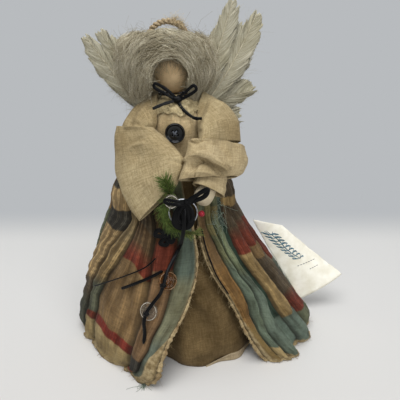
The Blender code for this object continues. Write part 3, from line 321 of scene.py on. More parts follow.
class Tree:
    """A material's nodes: add() makes one and joins its inputs, given by name or number, to sockets or plain values."""

    def __init__(self, name, roughness, shine=0.5, sheen=0.0, metallic=0.0):
        self.material = bpy.data.materials.new(name)
        self.material.use_nodes = True
        self.nodes, self.links = self.material.node_tree.nodes, self.material.node_tree.links
        self.shader = self.nodes["Principled BSDF"]
        self.set({"Roughness": roughness, "Specular IOR Level": shine, "Sheen Weight": sheen, "Metallic": metallic})

    def set(self, values):
        """Sets plain values of the main shader by name."""
        for key, value in values.items():
            self.shader.inputs[key].default_value = value

    def add(self, kind, inputs=None, **settings):
        made = self.nodes.new("ShaderNode" + kind)
        for key, value in settings.items():
            setattr(made, key, value)
        for key, value in (inputs or {}).items():
            if isinstance(value, bpy.types.NodeSocket):
                self.links.new(value, made.inputs[key])
            else:
                made.inputs[key].default_value = value
        return made

    def math(self, kind, a, b=0.0):
        return self.add("Math", {0: a, 1: b}, operation=kind).outputs[0]

    def times(self, *factors):
        """The product of sockets and numbers."""
        return functools.reduce(lambda a, b: self.math("MULTIPLY", a, b), factors)

    def total(self, *terms):
        """The sum of sockets and numbers."""
        return functools.reduce(lambda a, b: self.math("ADD", a, b), terms)

    def wave(self, value, length):
        """The sine of a value that grows by a full turn over the length."""
        return self.math("SINE", self.times(value, 2 * math.pi / length))

    def mix(self, share, a, b, kind="MIX"):
        """Colour a blended with colour b by the share."""
        return self.add("Mix", {0: share, 6: a, 7: b}, data_type="RGBA", blend_type=kind).outputs[2]

    def ramp(self, value, *stops):
        """The colour and alpha outputs of a ramp with these stops, each a place and a colour."""
        made = self.add("ValToRGB", {0: value})
        elements = made.color_ramp.elements
        while len(elements) < len(stops):
            elements.new(1.0)
        for element, (place, colour) in zip(elements, stops):
            element.position, element.color = place, rgba(colour)
        return made.outputs

    def tint(self, value, *stops):
        """The colour of a ramp at a value."""
        return self.ramp(value, *stops)[0]

    def noise(self, scale, detail, where=None):
        """Noise from 0 to 1, in object coordinates unless a place is given."""
        where = where or self.add("TexCoord").outputs["Object"]
        return self.add("TexNoise", {"Vector": where, "Scale": scale, "Detail": detail}).outputs["Fac"]

    def streaks(self, size, detail):
        """Noise on the cloth's map, squeezed by a number for each direction."""
        return self.noise(1.0, detail, self.add("Mapping", {"Vector": self.spot(), "Scale": size}).outputs[0])

    def spot(self):
        """The place on the cloth's map."""
        return self.add("UVMap", uv_map="cloth").outputs[0]

    def axes(self, place):
        """The three coordinates of a place."""
        return self.add("SeparateXYZ", {0: place}).outputs[:3]

    def value(self, name):
        """A value that the mesh carries for each of its points."""
        return self.add("Attribute", attribute_name=name).outputs["Fac"]

    def finish(self, colour, height=None, distance=0.0):
        """Joins the colour and the bump, and gives the material."""
        self.links.new(colour, self.shader.inputs["Base Color"])
        if height is not None:
            made = self.add("Bump", {"Height": height, "Distance": distance, "Strength": 1.0})
            self.links.new(made.outputs[0], self.shader.inputs["Normal"])
        return self.material


def weave(tree, pitch):
    """A plain weave: 0.12 sin(u) sin(v) on the cloth's map, plus slubs: noise squeezed along each thread direction."""
    u, v = tree.axes(tree.spot())[:2]
    slubs = [tree.streaks(size, 2.0) for size in ((110, 900, 1), (900, 110, 1))]
    return tree.total(tree.times(tree.wave(u, pitch), tree.wave(v, pitch), 0.12), tree.times(tree.total(*slubs), 0.5))


def fabric(name, light, dark, pitch=0.8 * MM, stain=28.0, depth=0.15 * MM):
    """Woven cloth: the light colour with dark stains from slow noise, threads picked out by the weave."""
    tree = Tree(name, 0.92, 0.08, 0.04)
    threads = weave(tree, pitch)
    stains = tree.tint(tree.noise(stain, 6.0), (0.36, light), (0.72, dark))
    speck = tree.tint(tree.noise(900.0, 3.0), (0.3, 0.8), (0.7, 1.1))
    shade = tree.tint(threads, (0.4, (0.66, 0.63, 0.56)), (0.56, (0.97, 0.97, 0.96)), (0.75, (1.22, 1.22, 1.2)))
    colour = tree.mix(0.75, tree.mix(0.85, stains, shade, "MULTIPLY"), speck, "MULTIPLY")
    return tree.finish(colour, threads, depth)


MUSLIN = fabric("muslin", "DAC79F", "B8A17B")
CREAM = fabric("cream_cotton", "B0A07D", "92805E")
CREAM_LIGHT = fabric("cream_cotton_light", "BBAA88", "9A8865")
BROWN = fabric("brown_muslin", "7A6646", "4C3D25", stain=30.0)
HEM = fabric("hem_lining", "B7A78A", "93826A")
GAUZE = fabric("gauze", "CDBE99", "9A8B69", pitch=1.3 * MM)
WADDING = fabric("raw_wadding", "B7A47E", "80694A", pitch=1.1 * MM, stain=120.0, depth=0.5 * MM)
print("finishes so far:", len(bpy.data.materials))


# %% Satin, thread, wire, jute and the rest
def plain(name, light, dark, scale, roughness, depth=0.1 * MM, metallic=0.0, shine=0.3):
    """A finish of two colours mixed by noise, which also makes its bumps."""
    tree = Tree(name, roughness, shine, metallic=metallic)
    grain = tree.noise(scale, 5.0)
    return tree.finish(tree.tint(grain, (0.35, light), (0.68, dark)), grain, depth)


SATIN = plain("black_satin", "020203", "090A0B", 900.0, 0.34, 0.03 * MM, shine=0.14)
BLACK = plain("black_button", "050608", "101114", 400.0, 0.14, 0.01 * MM, shine=0.5)
THREAD = plain("grey_thread", "62666E", "3B3F46", 1500.0, 0.9)
WIRE = plain("silver_wire", "C9CCD0", "8E9296", 700.0, 0.28, 0.02 * MM, metallic=1.0)
JUTE = plain("jute", "C2AF8F", "75644C", 1300.0, 0.92, 0.2 * MM, shine=0.1)
JUTE_PALE = plain("jute_tuft", "D3C4A2", "A8926A", 900.0, 0.95, 0.05 * MM, shine=0.1)
# Painted shade: the hair's under-layer is coloured as the shadow inside the mop of fibres.
WOOL_SHADE = plain("wool_shadow", "8A8168", "554D3B", 180.0, 0.98, 1.2 * MM, shine=0.05)
QUILL = plain("quill", "D8CFB6", "A59A7C", 300.0, 0.5, 0.05 * MM)
PINE = plain("pine", "66793A", "27331A", 350.0, 0.7, shine=0.15)
PINE_PALE = plain("pine_pale", "7C8448", "3D4A28", 300.0, 0.75, shine=0.15)
STEM = plain("pine_stem", "5C4A2C", "33291A", 500.0, 0.9)
BERRY = plain("red_berry", "9A1B2A", "560B15", 500.0, 0.3, 0.05 * MM)


def wool_finish():
    """Wool: each fibre carries the tone of its lock, and slow noise makes cloudy light and dark places."""
    tree = Tree("wool", 0.96, 0.08)
    cloud = tree.total(tree.times(tree.value("tone"), 0.6), tree.times(tree.noise(70.0, 4.0), 0.5))
    return tree.finish(tree.tint(cloud, (0.22, "7B715A"), (0.5, "ADA48B"), (0.8, "D8D1BC")), cloud, 0.05 * MM)


def plume_finish():
    """Feather vanes: noise squeezed along the barbs draws fine slanted streaks, and slow noise soils them."""
    tree = Tree("feather", 0.8, 0.12)
    streak = tree.streaks((60, 1300, 1), 4.0)
    soil = tree.tint(tree.noise(45.0, 4.0), (0.35, 1), (0.7, (0.84, 0.82, 0.74)))
    barbs = tree.tint(streak, (0.3, "7E7862"), (0.5, "ABA692"), (0.75, "D0CCBC"))
    return tree.finish(tree.mix(0.9, barbs, soil, "MULTIPLY"), streak, 0.25 * MM)


WOOL, PLUME = wool_finish(), plume_finish()


def clear_finish(name, colour):
    """Clear plastic: light passes through it with a faint tint."""
    tree = Tree(name, 0.06)
    tree.set({"Base Color": linear(colour), "Transmission Weight": 0.93, "IOR": 1.18})
    return tree.material


CLEAR_PLASTIC = clear_finish("clear_plastic", "E6DFD0")
AMBER_PLASTIC = clear_finish("amber_plastic", "B98F5E")
print("finishes:", len(bpy.data.materials))

# %% [markdown]
# ## Laces and cords
# The laces hang from the wreath and lie on the skirt. Each one is a tube along the route that the solid model gives it,
# with a soft oval section, because the real ones are flat braids.

# %% Routes in millimetres
LONG_LACE = (
    (-10.6, -65.4, 155), (-11.4, -67.4, 148), (-12, -67.4, 139), (-14.2, -63, 126), (-17.8, -52.4, 113.6),
    (-25.3, -62.6, 101.5), (-28.3, -68.2, 92.5), (-31.3, -67.4, 84), (-37.3, -68.6, 76), (-42.4, -69.4, 68),
    (-44.4, -70.9, 60), (-44.3, -70.4, 50), (-45.4, -72.7, 41),
)
LACE_TAIL = ((-29.5, -58.4, 99.5), (-38.6, -58.2, 94), (-52, -55, 86), (-65.2, -48.4, 77))
THIN_LEFT = ((-35, -53.2, 108), (-45, -54.3, 99.5), (-66.8, -43.7, 84.5), (-94.8, -25.5, 65))
THIN_RIGHT = ((1.3, -40.4, 128), (4.6, -43.7, 113), (8.8, -46.3, 101), (14.4, -48.7, 88), (24, -49.4, 72))


# %% Make the cords
CORDS = (
    ("long_lace", LONG_LACE, 2.9 * MM, 1.9 * MM), ("lace_tail", LACE_TAIL, 2.7 * MM, 1.8 * MM),
    ("thin_cord_left", THIN_LEFT, 1.2 * MM, 1.0 * MM), ("thin_cord_right", THIN_RIGHT, 1.2 * MM, 1.0 * MM),
)
BRAID_STEP = 0.9 * MM
for name, route, wide, deep in CORDS:
    line = smooth_line(np.array(route) * MM, 90)
    walked = length_along(line)
    braid = 1 + 0.05 * np.sin(walked / BRAID_STEP * 2 * math.pi)
    cord = surface(name + "_braid", tube_rings(line, wide / 2 * braid, deep / 2 * braid, 10), SATIN, caps=True)
    ride(cord, "black_satin", name)

# %% Knots in the long lace, which hold its buttons
KNOTS = (
    ("lace_knot_middle", (-28.3, -68.4, 92.5), (2.6, 1.7, 2.2)),
    ("lace_knot_low", (-42.4, -70.2, 68), (2.5, 1.7, 2.2)),
)
ring, rise = full_turn(28)[None], np.linspace(-1.5, 1.5, 20)[:, None]
out = np.stack((np.cos(rise) * np.cos(ring), np.cos(rise) * np.sin(ring), np.sin(rise) + 0 * ring), -1)
folds = 1 + 0.14 * np.sin(9 * out[..., :1] + 5 * out[..., 2:] + 2 * out[..., 1:2])
for name, where, half in KNOTS:
    ride(surface(name, (where + out * folds * half) * MM, SATIN, caps=True), "black_satin")

# %% [markdown]
# ## Folds placed one by one
# Cloth folds are easiest to place where they are seen. The helpers below work out where a point falls in the camera's
# frame, and push the cloth outwards or inwards near a line drawn there. Only the side that faces the camera is moved.

# %% Folds along lines in the camera's frame
EYE = np.array(camera.location)
COS, SIN = math.cos(math.radians(LOOKS_DOWN)), math.sin(math.radians(LOOKS_DOWN))
LOOK, UP = np.array((0, COS, -SIN)), np.array((0, SIN, COS))


def frame_place(p):
    """Where points fall in the square frame: x and y over the depth, times the lens length in picture units."""
    ray = p - EYE
    scale = PICTURE * LENS / SENSOR / (ray @ LOOK)
    return np.stack((PICTURE / 2 + ray[..., 0] * scale, PICTURE / 2 - (ray @ UP) * scale), -1)


def line_distance(spots, line):
    """The smallest distance from each spot to a broken line."""
    line = np.asarray(line, float)
    best = np.full(spots.shape[:-1], 1e9)
    for a, b in zip(line[:-1], line[1:]):
        t = np.clip(((spots - a) @ (b - a)) / ((b - a) @ (b - a)), 0, 1)
        best = np.minimum(best, np.linalg.norm(spots - a - t[..., None] * (b - a), axis=-1))
    return best


def press(points, outward, folds):
    """Moves points along outward by height times exp(-(distance / width)^2) for every fold line, on the side seen."""
    spots = frame_place(points)
    facing = np.clip((outward * unit(EYE - points)).sum(-1) * 1.6, 0, 1)
    move = np.zeros(spots.shape[:-1])
    for line, height, width in folds:
        move += height * MM * np.exp(-((line_distance(spots, line) / width) ** 2))
    return points + outward * (move * facing)[..., None]


# %% [markdown]
# ## The leaning body
# Body, underskirt and quilt all stand round one axis that leans to the left from the floor to the waist.
# A place on any of them is a direction round that axis, a height and a radius.

# %% The body's measures
CLEAR = 0.3 * MM
LEAN, WAIST, NECK, QUILT_TOP = 18 * MM, 172 * MM, 229.5 * MM, 179 * MM
BODY_SHAPE = (
    (0, 40), (5, 43), (51.6, 39.99), (120.4, 28.125), (172, 24), (194, 25), (216, 23.25), (223.425, 18), (229.5, 9),
)


def axis_x(z):
    """The leaning axis: sideways place = -LEAN times the smooth step of the height up to the waist."""
    t = np.clip(np.asarray(z, float) / WAIST, 0, 1)
    return -LEAN * t * t * (3 - 2 * t)


def body_radius(z):
    """The stuffed body's radius at a height."""
    return read(np.array(BODY_SHAPE) * MM, z)


def around(radius, turn, z):
    """Points at a radius and a direction from the leaning axis: zero is the front and a quarter turn the right."""
    radius, turn, z = np.broadcast_arrays(radius, turn, z)
    return np.stack((axis_x(z) + radius * np.sin(turn), -radius * np.cos(turn), z), -1)


def outward(points):
    """The direction from the leaning axis to each point, at the point's height."""
    return unit(points - around(0.0, 0.0, points[..., 2]))


def clad(radius):
    """The radius that clears the facets of the body's solid."""
    return (radius + CLEAR) / math.cos(math.pi / 20)


# %% Stuffed body
BODY_DENT = 0.35 * MM
heights = np.concatenate((np.linspace(0, 8 * MM, 5), np.linspace(14 * MM, NECK, 70)))
body_points = around(body_radius(heights)[:, None], full_turn(72)[None], heights[:, None])
dents = (ripple(body_points, 16 * MM, 3)[..., None] - 1) * BODY_DENT
body_points += outward(body_points) * dents * (heights[:, None, None] > 0)
body = surface("body", body_points, MUSLIN, caps=True)
ride(body, "muslin", "stuffed_body")

# %% [markdown]
# ## Underskirt
# A tube of tea-dyed muslin with seven soft folds that deepen towards the hem, where a turned edge of lighter cloth
# shows.


# %% Underskirt
FLARE, FOLD, UNDER_WALL = 5.5 * MM, 3 * MM, 1.2 * MM


def underskirt_inner(z):
    """The body's reach with a flare that grows towards the hem."""
    down = np.clip(1 - z / QUILT_TOP, 0, 1)
    return clad(body_radius(np.maximum(z, 5 * MM)) + CLEAR) + FLARE * down


def underskirt_envelope(z):
    """The radius that no fold of the underskirt passes."""
    down = np.clip(1 - z / QUILT_TOP, 0, 1)
    return underskirt_inner(z) + FOLD * down + UNDER_WALL


def underskirt_points(rows, columns):
    """Radius = inner reach + fold height times a rounded wave of seven folds, with slow creases that cross them."""
    z = np.linspace(0.3 * MM, QUILT_TOP, rows)[:, None]
    turn = full_turn(columns)[None]
    down = 1 - z / QUILT_TOP
    folds = 0.5 + 0.5 * np.cos(7 * turn + 0.6 + 0.5 * np.sin(9 * down))
    radius = underskirt_inner(z) + FOLD * down * folds + UNDER_WALL
    points = around(radius, turn, z)
    creases = ripple(points * (1, 1, 1.6), 30 * MM, 5) * 1.1 * MM * np.clip(down * 3, 0, 1)
    return around(radius + creases - UNDER_WALL / 2, turn, z)


UNDER_FOLDS = (
    (((196, 298), (206, 306), (216, 320), (221, 341)), 3.0, 6.5),
    (((228, 296), (236, 312), (238, 334)), -2.4, 6.0),
    (((180, 318), (186, 338), (184, 358)), 1.6, 8.0),
    (((200, 325), (204, 345)), -1.6, 6.0),
)
skirt_points = underskirt_points(91, 190)
skirt_out = outward(skirt_points)
skirt_points = press(skirt_points, skirt_out, UNDER_FOLDS)
underskirt = thicken(surface("underskirt_cloth", skirt_points[::2], BROWN), 1.0 * MM)
ride(underskirt, "brown_muslin", "underskirt")

# %% Turned hem: five rows of the skirt again, moved out, lower where the turned edge runs out at its left end
OUT_BY_ROW = np.array((1.2, 1.1, 0.9, 0.6, 0.1))[:, None, None] * MM
hem_rows = skirt_points[:5, 3:42] + skirt_out[:5, 3:42] * OUT_BY_ROW
tall = 0.9 * np.clip(np.arange(hem_rows.shape[1]) / 14, 0.04, 1)
hem_rows[..., 2] = hem_rows[:1, :, 2] + (hem_rows[..., 2] - hem_rows[:1, :, 2]) * tall
ride(thicken(surface("underskirt_hem", hem_rows, HEM, wrap=False), 0.5 * MM), "brown_muslin")

# %% [markdown]
# ## Quilted overskirt
# One length of old patchwork quilt, gathered at the waist and open at the front. Its seams run down the cloth.
# Between two seams the wadding stands out as a rounded ridge, so the shape is a table of seam lines and ridge heights.
# The patches follow the same seams: a number called strip counts the seams passed, and the material picks its colours
# by it.

# %% Tables of the quilt
HEM_REACH = (
    (-180, 88), (-150, 98), (-120, 109), (-92, 114), (-68, 95), (-47, 85), (-33, 88), (10, 80), (50, 74), (60, 88),
    (76, 97), (99, 106), (122, 103), (150, 94), (180, 88),
)
OPENING_LEFT = (
    (0, -32.5), (0.05, -25.5), (0.15, -21.6), (0.26, -16), (0.35, -7.6), (0.44, 0.5), (0.52, 7.6), (0.6, 11.6),
    (0.68, 13), (0.8, 10), (1, 4),
)
OPENING_RIGHT = (
    (0, 53.5), (0.05, 49), (0.16, 42), (0.28, 38), (0.38, 32.6), (0.48, 24.5), (0.59, 20), (0.7, 20), (1, 22),
)
SEAMS_LEFT = (
    ((0, 0), (1, 0)),
    ((0, 0.050), (0.06, 0.042), (0.19, 0.030), (0.32, 0.034), (0.47, 0.049), (0.56, 0.059), (0.69, 0.048), (1, 0.045)),
    ((0, 0.068), (0.15, 0.066), (0.28, 0.070), (0.44, 0.092), (0.53, 0.105), (0.59, 0.112), (0.76, 0.106), (1, 0.100)),
    ((0, 0.175), (0.22, 0.191), (0.29, 0.206), (0.44, 0.208), (0.55, 0.198), (0.66, 0.181), (0.76, 0.160), (1, 0.150)),
    ((0, 0.205), (0.21, 0.212), (0.36, 0.237), (0.57, 0.237), (0.66, 0.215), (0.73, 0.190), (1, 0.175)),
    ((0, 0.285), (1, 0.285)),
)
SEAMS_RIGHT = (
    ((0, 0.805), (1, 0.805)),
    ((0, 0.870), (0.26, 0.868), (0.36, 0.873), (0.56, 0.857), (0.65, 0.859), (0.81, 0.870), (1, 0.872)),
    ((0, 0.915), (0.30, 0.915), (0.43, 0.903), (0.60, 0.895), (0.70, 0.896), (0.84, 0.899), (1, 0.900)),
    ((0, 0.940), (0.26, 0.934), (0.32, 0.923), (0.45, 0.912), (0.56, 0.907), (0.68, 0.911), (0.81, 0.916), (1, 0.918)),
    ((0, 0.966), (0.18, 0.960), (0.29, 0.945), (0.38, 0.933), (0.49, 0.925), (0.60, 0.930), (0.73, 0.945), (1, 0.945)),
    ((0, 0.980), (0.27, 0.972), (0.31, 0.962), (0.41, 0.950), (0.50, 0.945), (0.62, 0.952), (0.70, 0.970), (1, 0.972)),
    ((0, 1), (1, 1)),
)
BACK_FOLDS = 8
FOLDS = np.array((1.5, 2.5, 5.5, 5, 8, *(7 for _ in range(BACK_FOLDS)), 8, 8, -2, 6, 5, 3.5)) * MM
STRIPS = len(FOLDS)
FRONT_OF_WALL, BACK_OF_WALL = 3.6 * MM, 0.4 * MM


# %% The quilt's surface
def quilt_seams(share):
    """Places of all the seams along the cloth at each share of the height, one row for each share."""
    left = np.stack([np.interp(share, *np.transpose(seam)) for seam in SEAMS_LEFT], -1)
    right = np.stack([np.interp(share, *np.transpose(seam)) for seam in SEAMS_RIGHT], -1)
    step = np.linspace(0, 1, BACK_FOLDS + 1)[1:-1]
    back = left[:, -1:] + (right[:, :1] - left[:, -1:]) * step
    return np.concatenate((left, back, right), -1)


def quilt_place(strip, share):
    """The place along the cloth of each strip number at each share of the height."""
    seams = quilt_seams(share)
    k = np.minimum(strip.astype(int), STRIPS - 1)
    return seams[:, k] + (seams[:, k + 1] - seams[:, k]) * (strip - k)


def quilt_turn(u, share):
    """The direction of a place on the quilt: from the left front edge round the back to the right one."""
    left = np.radians(read(OPENING_LEFT, share))[:, None]
    right = np.radians(read(OPENING_RIGHT, share))[:, None] - 2 * math.pi
    return left + u * (right - left)


def quilt_radius(turn, strip, share):
    """Seat on the underskirt + reach that grows down the skirt + gathers at the waist + the ridge of each strip."""
    share = share[:, None]
    down = 1 - share
    seat = underskirt_envelope(share * QUILT_TOP) + CLEAR
    degrees = (np.degrees(turn) + 180) % 360 - 180
    reach = read(HEM_REACH, degrees) * MM - FRONT_OF_WALL - underskirt_envelope(0) - CLEAR
    side = np.sin(turn)
    slope = 0.93 + np.where(side < 0, 0.36, 0.13) * side
    puff = 6 * MM * bump((share - 0.86) / 0.14) + 4 * MM * np.maximum(-side, 0) * bump((share - 0.5) / 0.5)
    k = np.minimum(strip.astype(int), STRIPS - 1)
    ridge = FOLDS[k] * np.sin(np.pi * np.clip(strip - k, 0, 1)) ** 0.7
    return seat + reach * down**slope + puff + ridge * (0.25 + 0.75 * down) * np.clip(8 * down, 0, 1)


ROWS, PER_STRIP = 100, 14
share = np.linspace(0, 1, ROWS)
strip = np.arange(STRIPS * PER_STRIP + 1) / PER_STRIP
place = quilt_place(strip, share)
turn = quilt_turn(place, share)
radius = quilt_radius(turn, strip, share)
outer = around(radius + FRONT_OF_WALL, turn, (share * QUILT_TOP)[:, None])
print("hem of the quilt, metres round:", round(float(length_along(outer[0])[-1]), 3))

# %% [markdown]
# The ridges alone look machine made. Hand quilting pulls the cloth down along each seam, the wadding shifts into lumps,
# and the raw hem wanders. These small moves stay inside a millimetre or two of the solid.

# %% Lumps, tucks and the raw hem
across = strip - np.floor(strip)
seam_dip = np.exp(-((np.minimum(across, 1 - across) / 0.055) ** 2))[None]
lumpy = np.isin(np.floor(strip).astype(int), (3, 4, 13, 14, 16, 17))[None]
lumps = np.sin(share[:, None] * 62 + 2.2 * np.sin(7 * strip[None]) + 3 * np.floor(strip)[None])
wide = 0.9 * np.sin(np.pi * np.clip(across, 0, 1))[None]
move = -0.9 * MM * seam_dip + 0.75 * MM * lumps * wide * lumpy
move += 0.55 * MM * ripple(outer, 18 * MM, 8) + 0.3 * MM * ripple(outer, 6 * MM, 9)
laces_here = (np.abs(strip - 1.8) < 1.7)[None] * (share[:, None] > 0.2) * (share[:, None] < 0.72)
move = np.where(laces_here, np.minimum(move, 0) * 0.6 - 0.1 * MM, move)
move *= np.clip((1 - share[:, None]) * 10, 0.1, 1)
hem_wander = 1.6 * MM * ripple(outer[:1], 26 * MM, 12) + 1.2 * MM * ripple(outer[:1], 7 * MM, 13)
hem_wander = hem_wander.clip(-0.6 * MM, 3 * MM) + 0.7 * MM
height = (share * QUILT_TOP)[:, None] + hem_wander * np.clip(1 - share[:, None] * 9, 0, 1)
outer = around(radius + FRONT_OF_WALL + move, turn, height)
inner = around(radius + BACK_OF_WALL + 0.3 * move, turn, height)


# %% One closed mesh from both faces of the quilt
def carry(made, key, values):
    """Stores a value for each point, which the material reads."""
    made.data.attributes.new(key, "FLOAT", "POINT").data.foreach_set("value", values.astype(np.float32))


def shell(name, front, back, material, values):
    """Two grids of the same size joined along all four edges, with the same values and map on both."""
    rows, columns = front.shape[:2]
    count = rows * columns
    faces = grid_faces(rows, columns, False)
    uv = grid_map(rows, columns, False, metre_map(front, False)).reshape(-1, 4, 2)
    index = np.arange(count).reshape(rows, columns)
    rim = np.concatenate((index[0], index[1:-1, -1], index[-1, ::-1], index[-2:0:-1, 0]))
    after = np.roll(rim, -1)
    edge = np.stack((rim, after, after + count, rim + count), -1)
    every = np.concatenate((faces, faces[:, ::-1] + count, edge[:, ::-1]))
    spots = np.concatenate((uv, uv[:, ::-1], np.zeros((len(edge), 4, 2))))
    if not looks_out(front, faces, back):
        every, spots = every[:, ::-1], spots[:, ::-1]
    points = np.concatenate((front.reshape(-1, 3), back.reshape(-1, 3)))
    made = new_object(name, points, every, spots.reshape(-1, 2), material)
    for key, value in values.items():
        carry(made, key, np.tile(np.broadcast_to(value, (rows, columns)).ravel(), 2))
    return made


# %% [markdown]
# ### Patchwork finish
# Each strip has its own ramp of patches down its height, with hard steps where patches meet.
# The alpha of each step carries how strong the woven check is in that patch.

# %% Patch colours by strip
TAN, GOLD, GREY, DARK, RED, BLUE, MOSS, CREAM_RAW, PINK, BROWNED = (
    "80694A", "836640", "584E40", "3E3C37", "6C372B", "626A5F", "5E634F", "A8956C", "735C44", "594936",
)
SOFT = 0.06
PATCHES = {
    0: ((0, BLUE, 0.1), (0.22, "7A7B65", 0.1, SOFT), (0.46, "545F56", 0.1, SOFT), (0.8, MOSS, 0.2, SOFT)),
    1: (
        (0, "7A382D", 0.3), (0.045, DARK, 0.6), (0.13, PINK, 0.3), (0.545, RED, 0.4), (0.63, BROWNED, 0.7, SOFT),
        (0.8, GREY, 0.8),
    ),
    2: (
        (0, CREAM_RAW, 0.0), (0.165, "7A352B", 0.3), (0.212, TAN, 0.35), (0.556, "6F3629", 0.4),
        (0.6, BROWNED, 0.8, SOFT), (0.74, GREY, 0.8),
    ),
    3: (
        (0, CREAM_RAW, 0.1), (0.165, RED, 0.5), (0.2, "575A4C", 0.5), (0.36, "8F7B58", 0.8, SOFT),
        (0.6, "7A6C52", 0.6, SOFT), (0.8, TAN, 0.5),
    ),
    4: (
        (0, "4A4C42", 0.5), (0.2, GREY, 0.6, SOFT), (0.34, "A08A66", 0.8, SOFT), (0.665, DARK, 1.0),
        (0.765, "A08A66", 0.7), (0.86, DARK, 0.8),
    ),
    13: (
        (0, MOSS, 0.1), (0.15, RED, 0.6), (0.225, GREY, 0.5, SOFT), (0.5, TAN, 0.3), (0.56, RED, 0.5),
        (0.64, GREY, 0.6, SOFT), (0.775, "A28A5F", 0.2), (0.82, GREY, 0.7),
    ),
    14: (
        (0, "5F6C62", 0.1), (0.225, "937E58", 0.35), (0.555, RED, 0.5), (0.62, GREY, 0.6, SOFT),
        (0.79, "9C855B", 0.3), (0.83, GREY, 0.6),
    ),
    15: ((0, "5C6A60", 0.1), (0.24, "2F3D34", 0.2), (0.7, "46524A", 0.3)),
    16: ((0, "5F6B60", 0.1), (0.45, "6F7860", 0.3, SOFT), (0.72, "7E7452", 0.3, SOFT), (0.8, MOSS, 0.4)),
    17: ((0, CREAM_RAW, 0.2), (0.1, "616D5F", 0.2), (0.5, "676A50", 0.2, SOFT), (0.66, "7A7350", 0.3)),
    18: ((0, "7D6A45", 0.3), (0.2, GOLD, 0.5, SOFT), (0.5, "67533A", 0.4, SOFT), (0.78, MOSS, 0.3)),
}
BACK_LOOPS = ((TAN, BLUE, RED, GREY), (GREY, TAN, MOSS, TAN), (BLUE, TAN, GOLD, RED), (TAN, DARK, TAN, BLUE))
for number in range(5, 13):
    loop = BACK_LOOPS[number % 4]
    edges = (0, 0.17 + 0.02 * (number % 3), 0.42 - 0.03 * (number % 2), 0.68 + 0.02 * (number % 3))
    PATCHES[number] = tuple((edge, colour, 0.5) for edge, colour in zip(edges, loop))


# %% The quilt's material
def patch_stops(patches):
    """Two stops at each edge, for the colours on its two sides: close together, or as far apart as the edge is soft."""
    stops = []
    for edge, colour, amount, *soft in patches:
        wide = soft[0] if soft else 0.004
        shade = (*linear(colour)[:3], amount)
        if stops:
            stops.append((max(edge - 0.002, stops[-1][0]), stops[-1][1]))
        stops.append((edge + (wide if stops else 0.0), shade))
    return stops


def quilt_finish():
    """Patches by strip and height, a check of fine stripes on top, faded and stained by noise, with painted shade along
    the seams.
    """
    tree = Tree("quilt", 0.93, 0.08, 0.04)
    strip_value = tree.value("strip")
    shares = tree.total(tree.value("share"), tree.times(tree.total(tree.noise(60.0, 3.0), -0.5), 0.035))
    patch, check = tree.ramp(shares, *patch_stops(PATCHES[0]))
    for number in range(1, STRIPS):
        colour, amount = tree.ramp(shares, *patch_stops(PATCHES[number]))
        past = tree.math("GREATER_THAN", strip_value, float(number))
        patch = tree.mix(past, patch, colour)
        check = tree.add("Mix", {0: past, 2: check, 3: amount}).outputs[0]
    u, v = tree.axes(tree.spot())[:2]
    fine, wide, low = tree.wave(u, 2.1 * MM), tree.wave(u, 9.3 * MM), tree.wave(v, 5.7 * MM)
    stripes = tree.total(tree.times(fine, 0.5), wide, tree.times(low, 0.3))
    dark = tree.tint(stripes, (0.1, (0.6, 0.57, 0.54)), (0.5, 0.98), (0.95, (1.5, 1.45, 1.35)))
    colour = tree.mix(check, patch, tree.mix(1.0, patch, dark, "MULTIPLY"))
    cloud = tree.noise(32.0, 7.0)
    fade = tree.tint(cloud, (0.34, (0.58, 0.54, 0.48)), (0.5, (0.96, 0.95, 0.93)), (0.68, (1.3, 1.26, 1.18)))
    colour = tree.mix(0.85, colour, fade, "MULTIPLY")
    runs = tree.streaks((170, 28, 1), 4.0)
    stain = tree.tint(runs, (0.36, (0.55, 0.52, 0.48)), (0.5, 1), (0.7, (1.2, 1.18, 1.12)))
    colour = tree.mix(0.8, colour, stain, "MULTIPLY")
    raw = tree.tint(tree.noise(260.0, 5.0), (0.35, "AC9A76"), (0.65, "7E6C4C"))
    colour = tree.mix(tree.value("raw"), colour, raw)
    threads = weave(tree, 0.9 * MM)
    shade = tree.tint(threads, (0.35, (0.74, 0.73, 0.7)), (0.65, (1.14, 1.14, 1.12)))
    colour = tree.mix(0.8, colour, shade, "MULTIPLY")
    # Painted shade: the colour is pulled towards near black along the seams, where the cloth dips between the ridges.
    colour = tree.mix(tree.times(tree.value("seam"), 0.85), colour, linear("1A1711"))
    creased = tree.total(threads, tree.times(tree.noise(150.0, 5.0), 4.0), tree.times(runs, 4.0))
    return tree.finish(colour, creased, 0.5 * MM)


QUILT = quilt_finish()
bent = share[:, None] + 0.055 * np.exp(-(((strip[None] - 2.0) / 0.3) ** 2)) * (strip[None] >= 2)
bent += 0.012 * ripple(outer, 40 * MM, 14)
low_edge = np.clip((0.26 - share[:, None]) / 0.09, 0, 1)
raw_left = np.clip((0.1 + 0.62 * low_edge - strip[None]) / 0.05, 0, 1)
raw_right = np.clip((strip[None] - (STRIPS - 0.12 - 0.25 * low_edge)) / 0.05, 0, 1)
raw_hem = np.clip((0.022 + 0.012 * ripple(outer, 12 * MM, 15) - share[:, None]) / 0.006, 0, 1)
# Painted shade along each seam, a little weaker higher up; the material darkens the quilt by it.
seam_shade = np.exp(-((np.minimum(across, 1 - across) / 0.085) ** 2))[None]
seam_shade = seam_shade * (1 - 0.3 * share[:, None]) * (share[:, None] > 0.03)
raw = np.maximum(np.maximum(raw_left, raw_right), raw_hem)
values = {"strip": strip[None], "share": bent, "seam": seam_shade, "raw": raw}
quilt = shell("quilt_cloth", outer, inner, QUILT, values)
ride(quilt, "quilt", "quilt_overskirt")

# %% [markdown]
# ### Raw edges
# The quilt was cut and never hemmed. Its wadding shows as a ragged cream edge down both sides of the opening and along
# the hem, and threads hang from it.


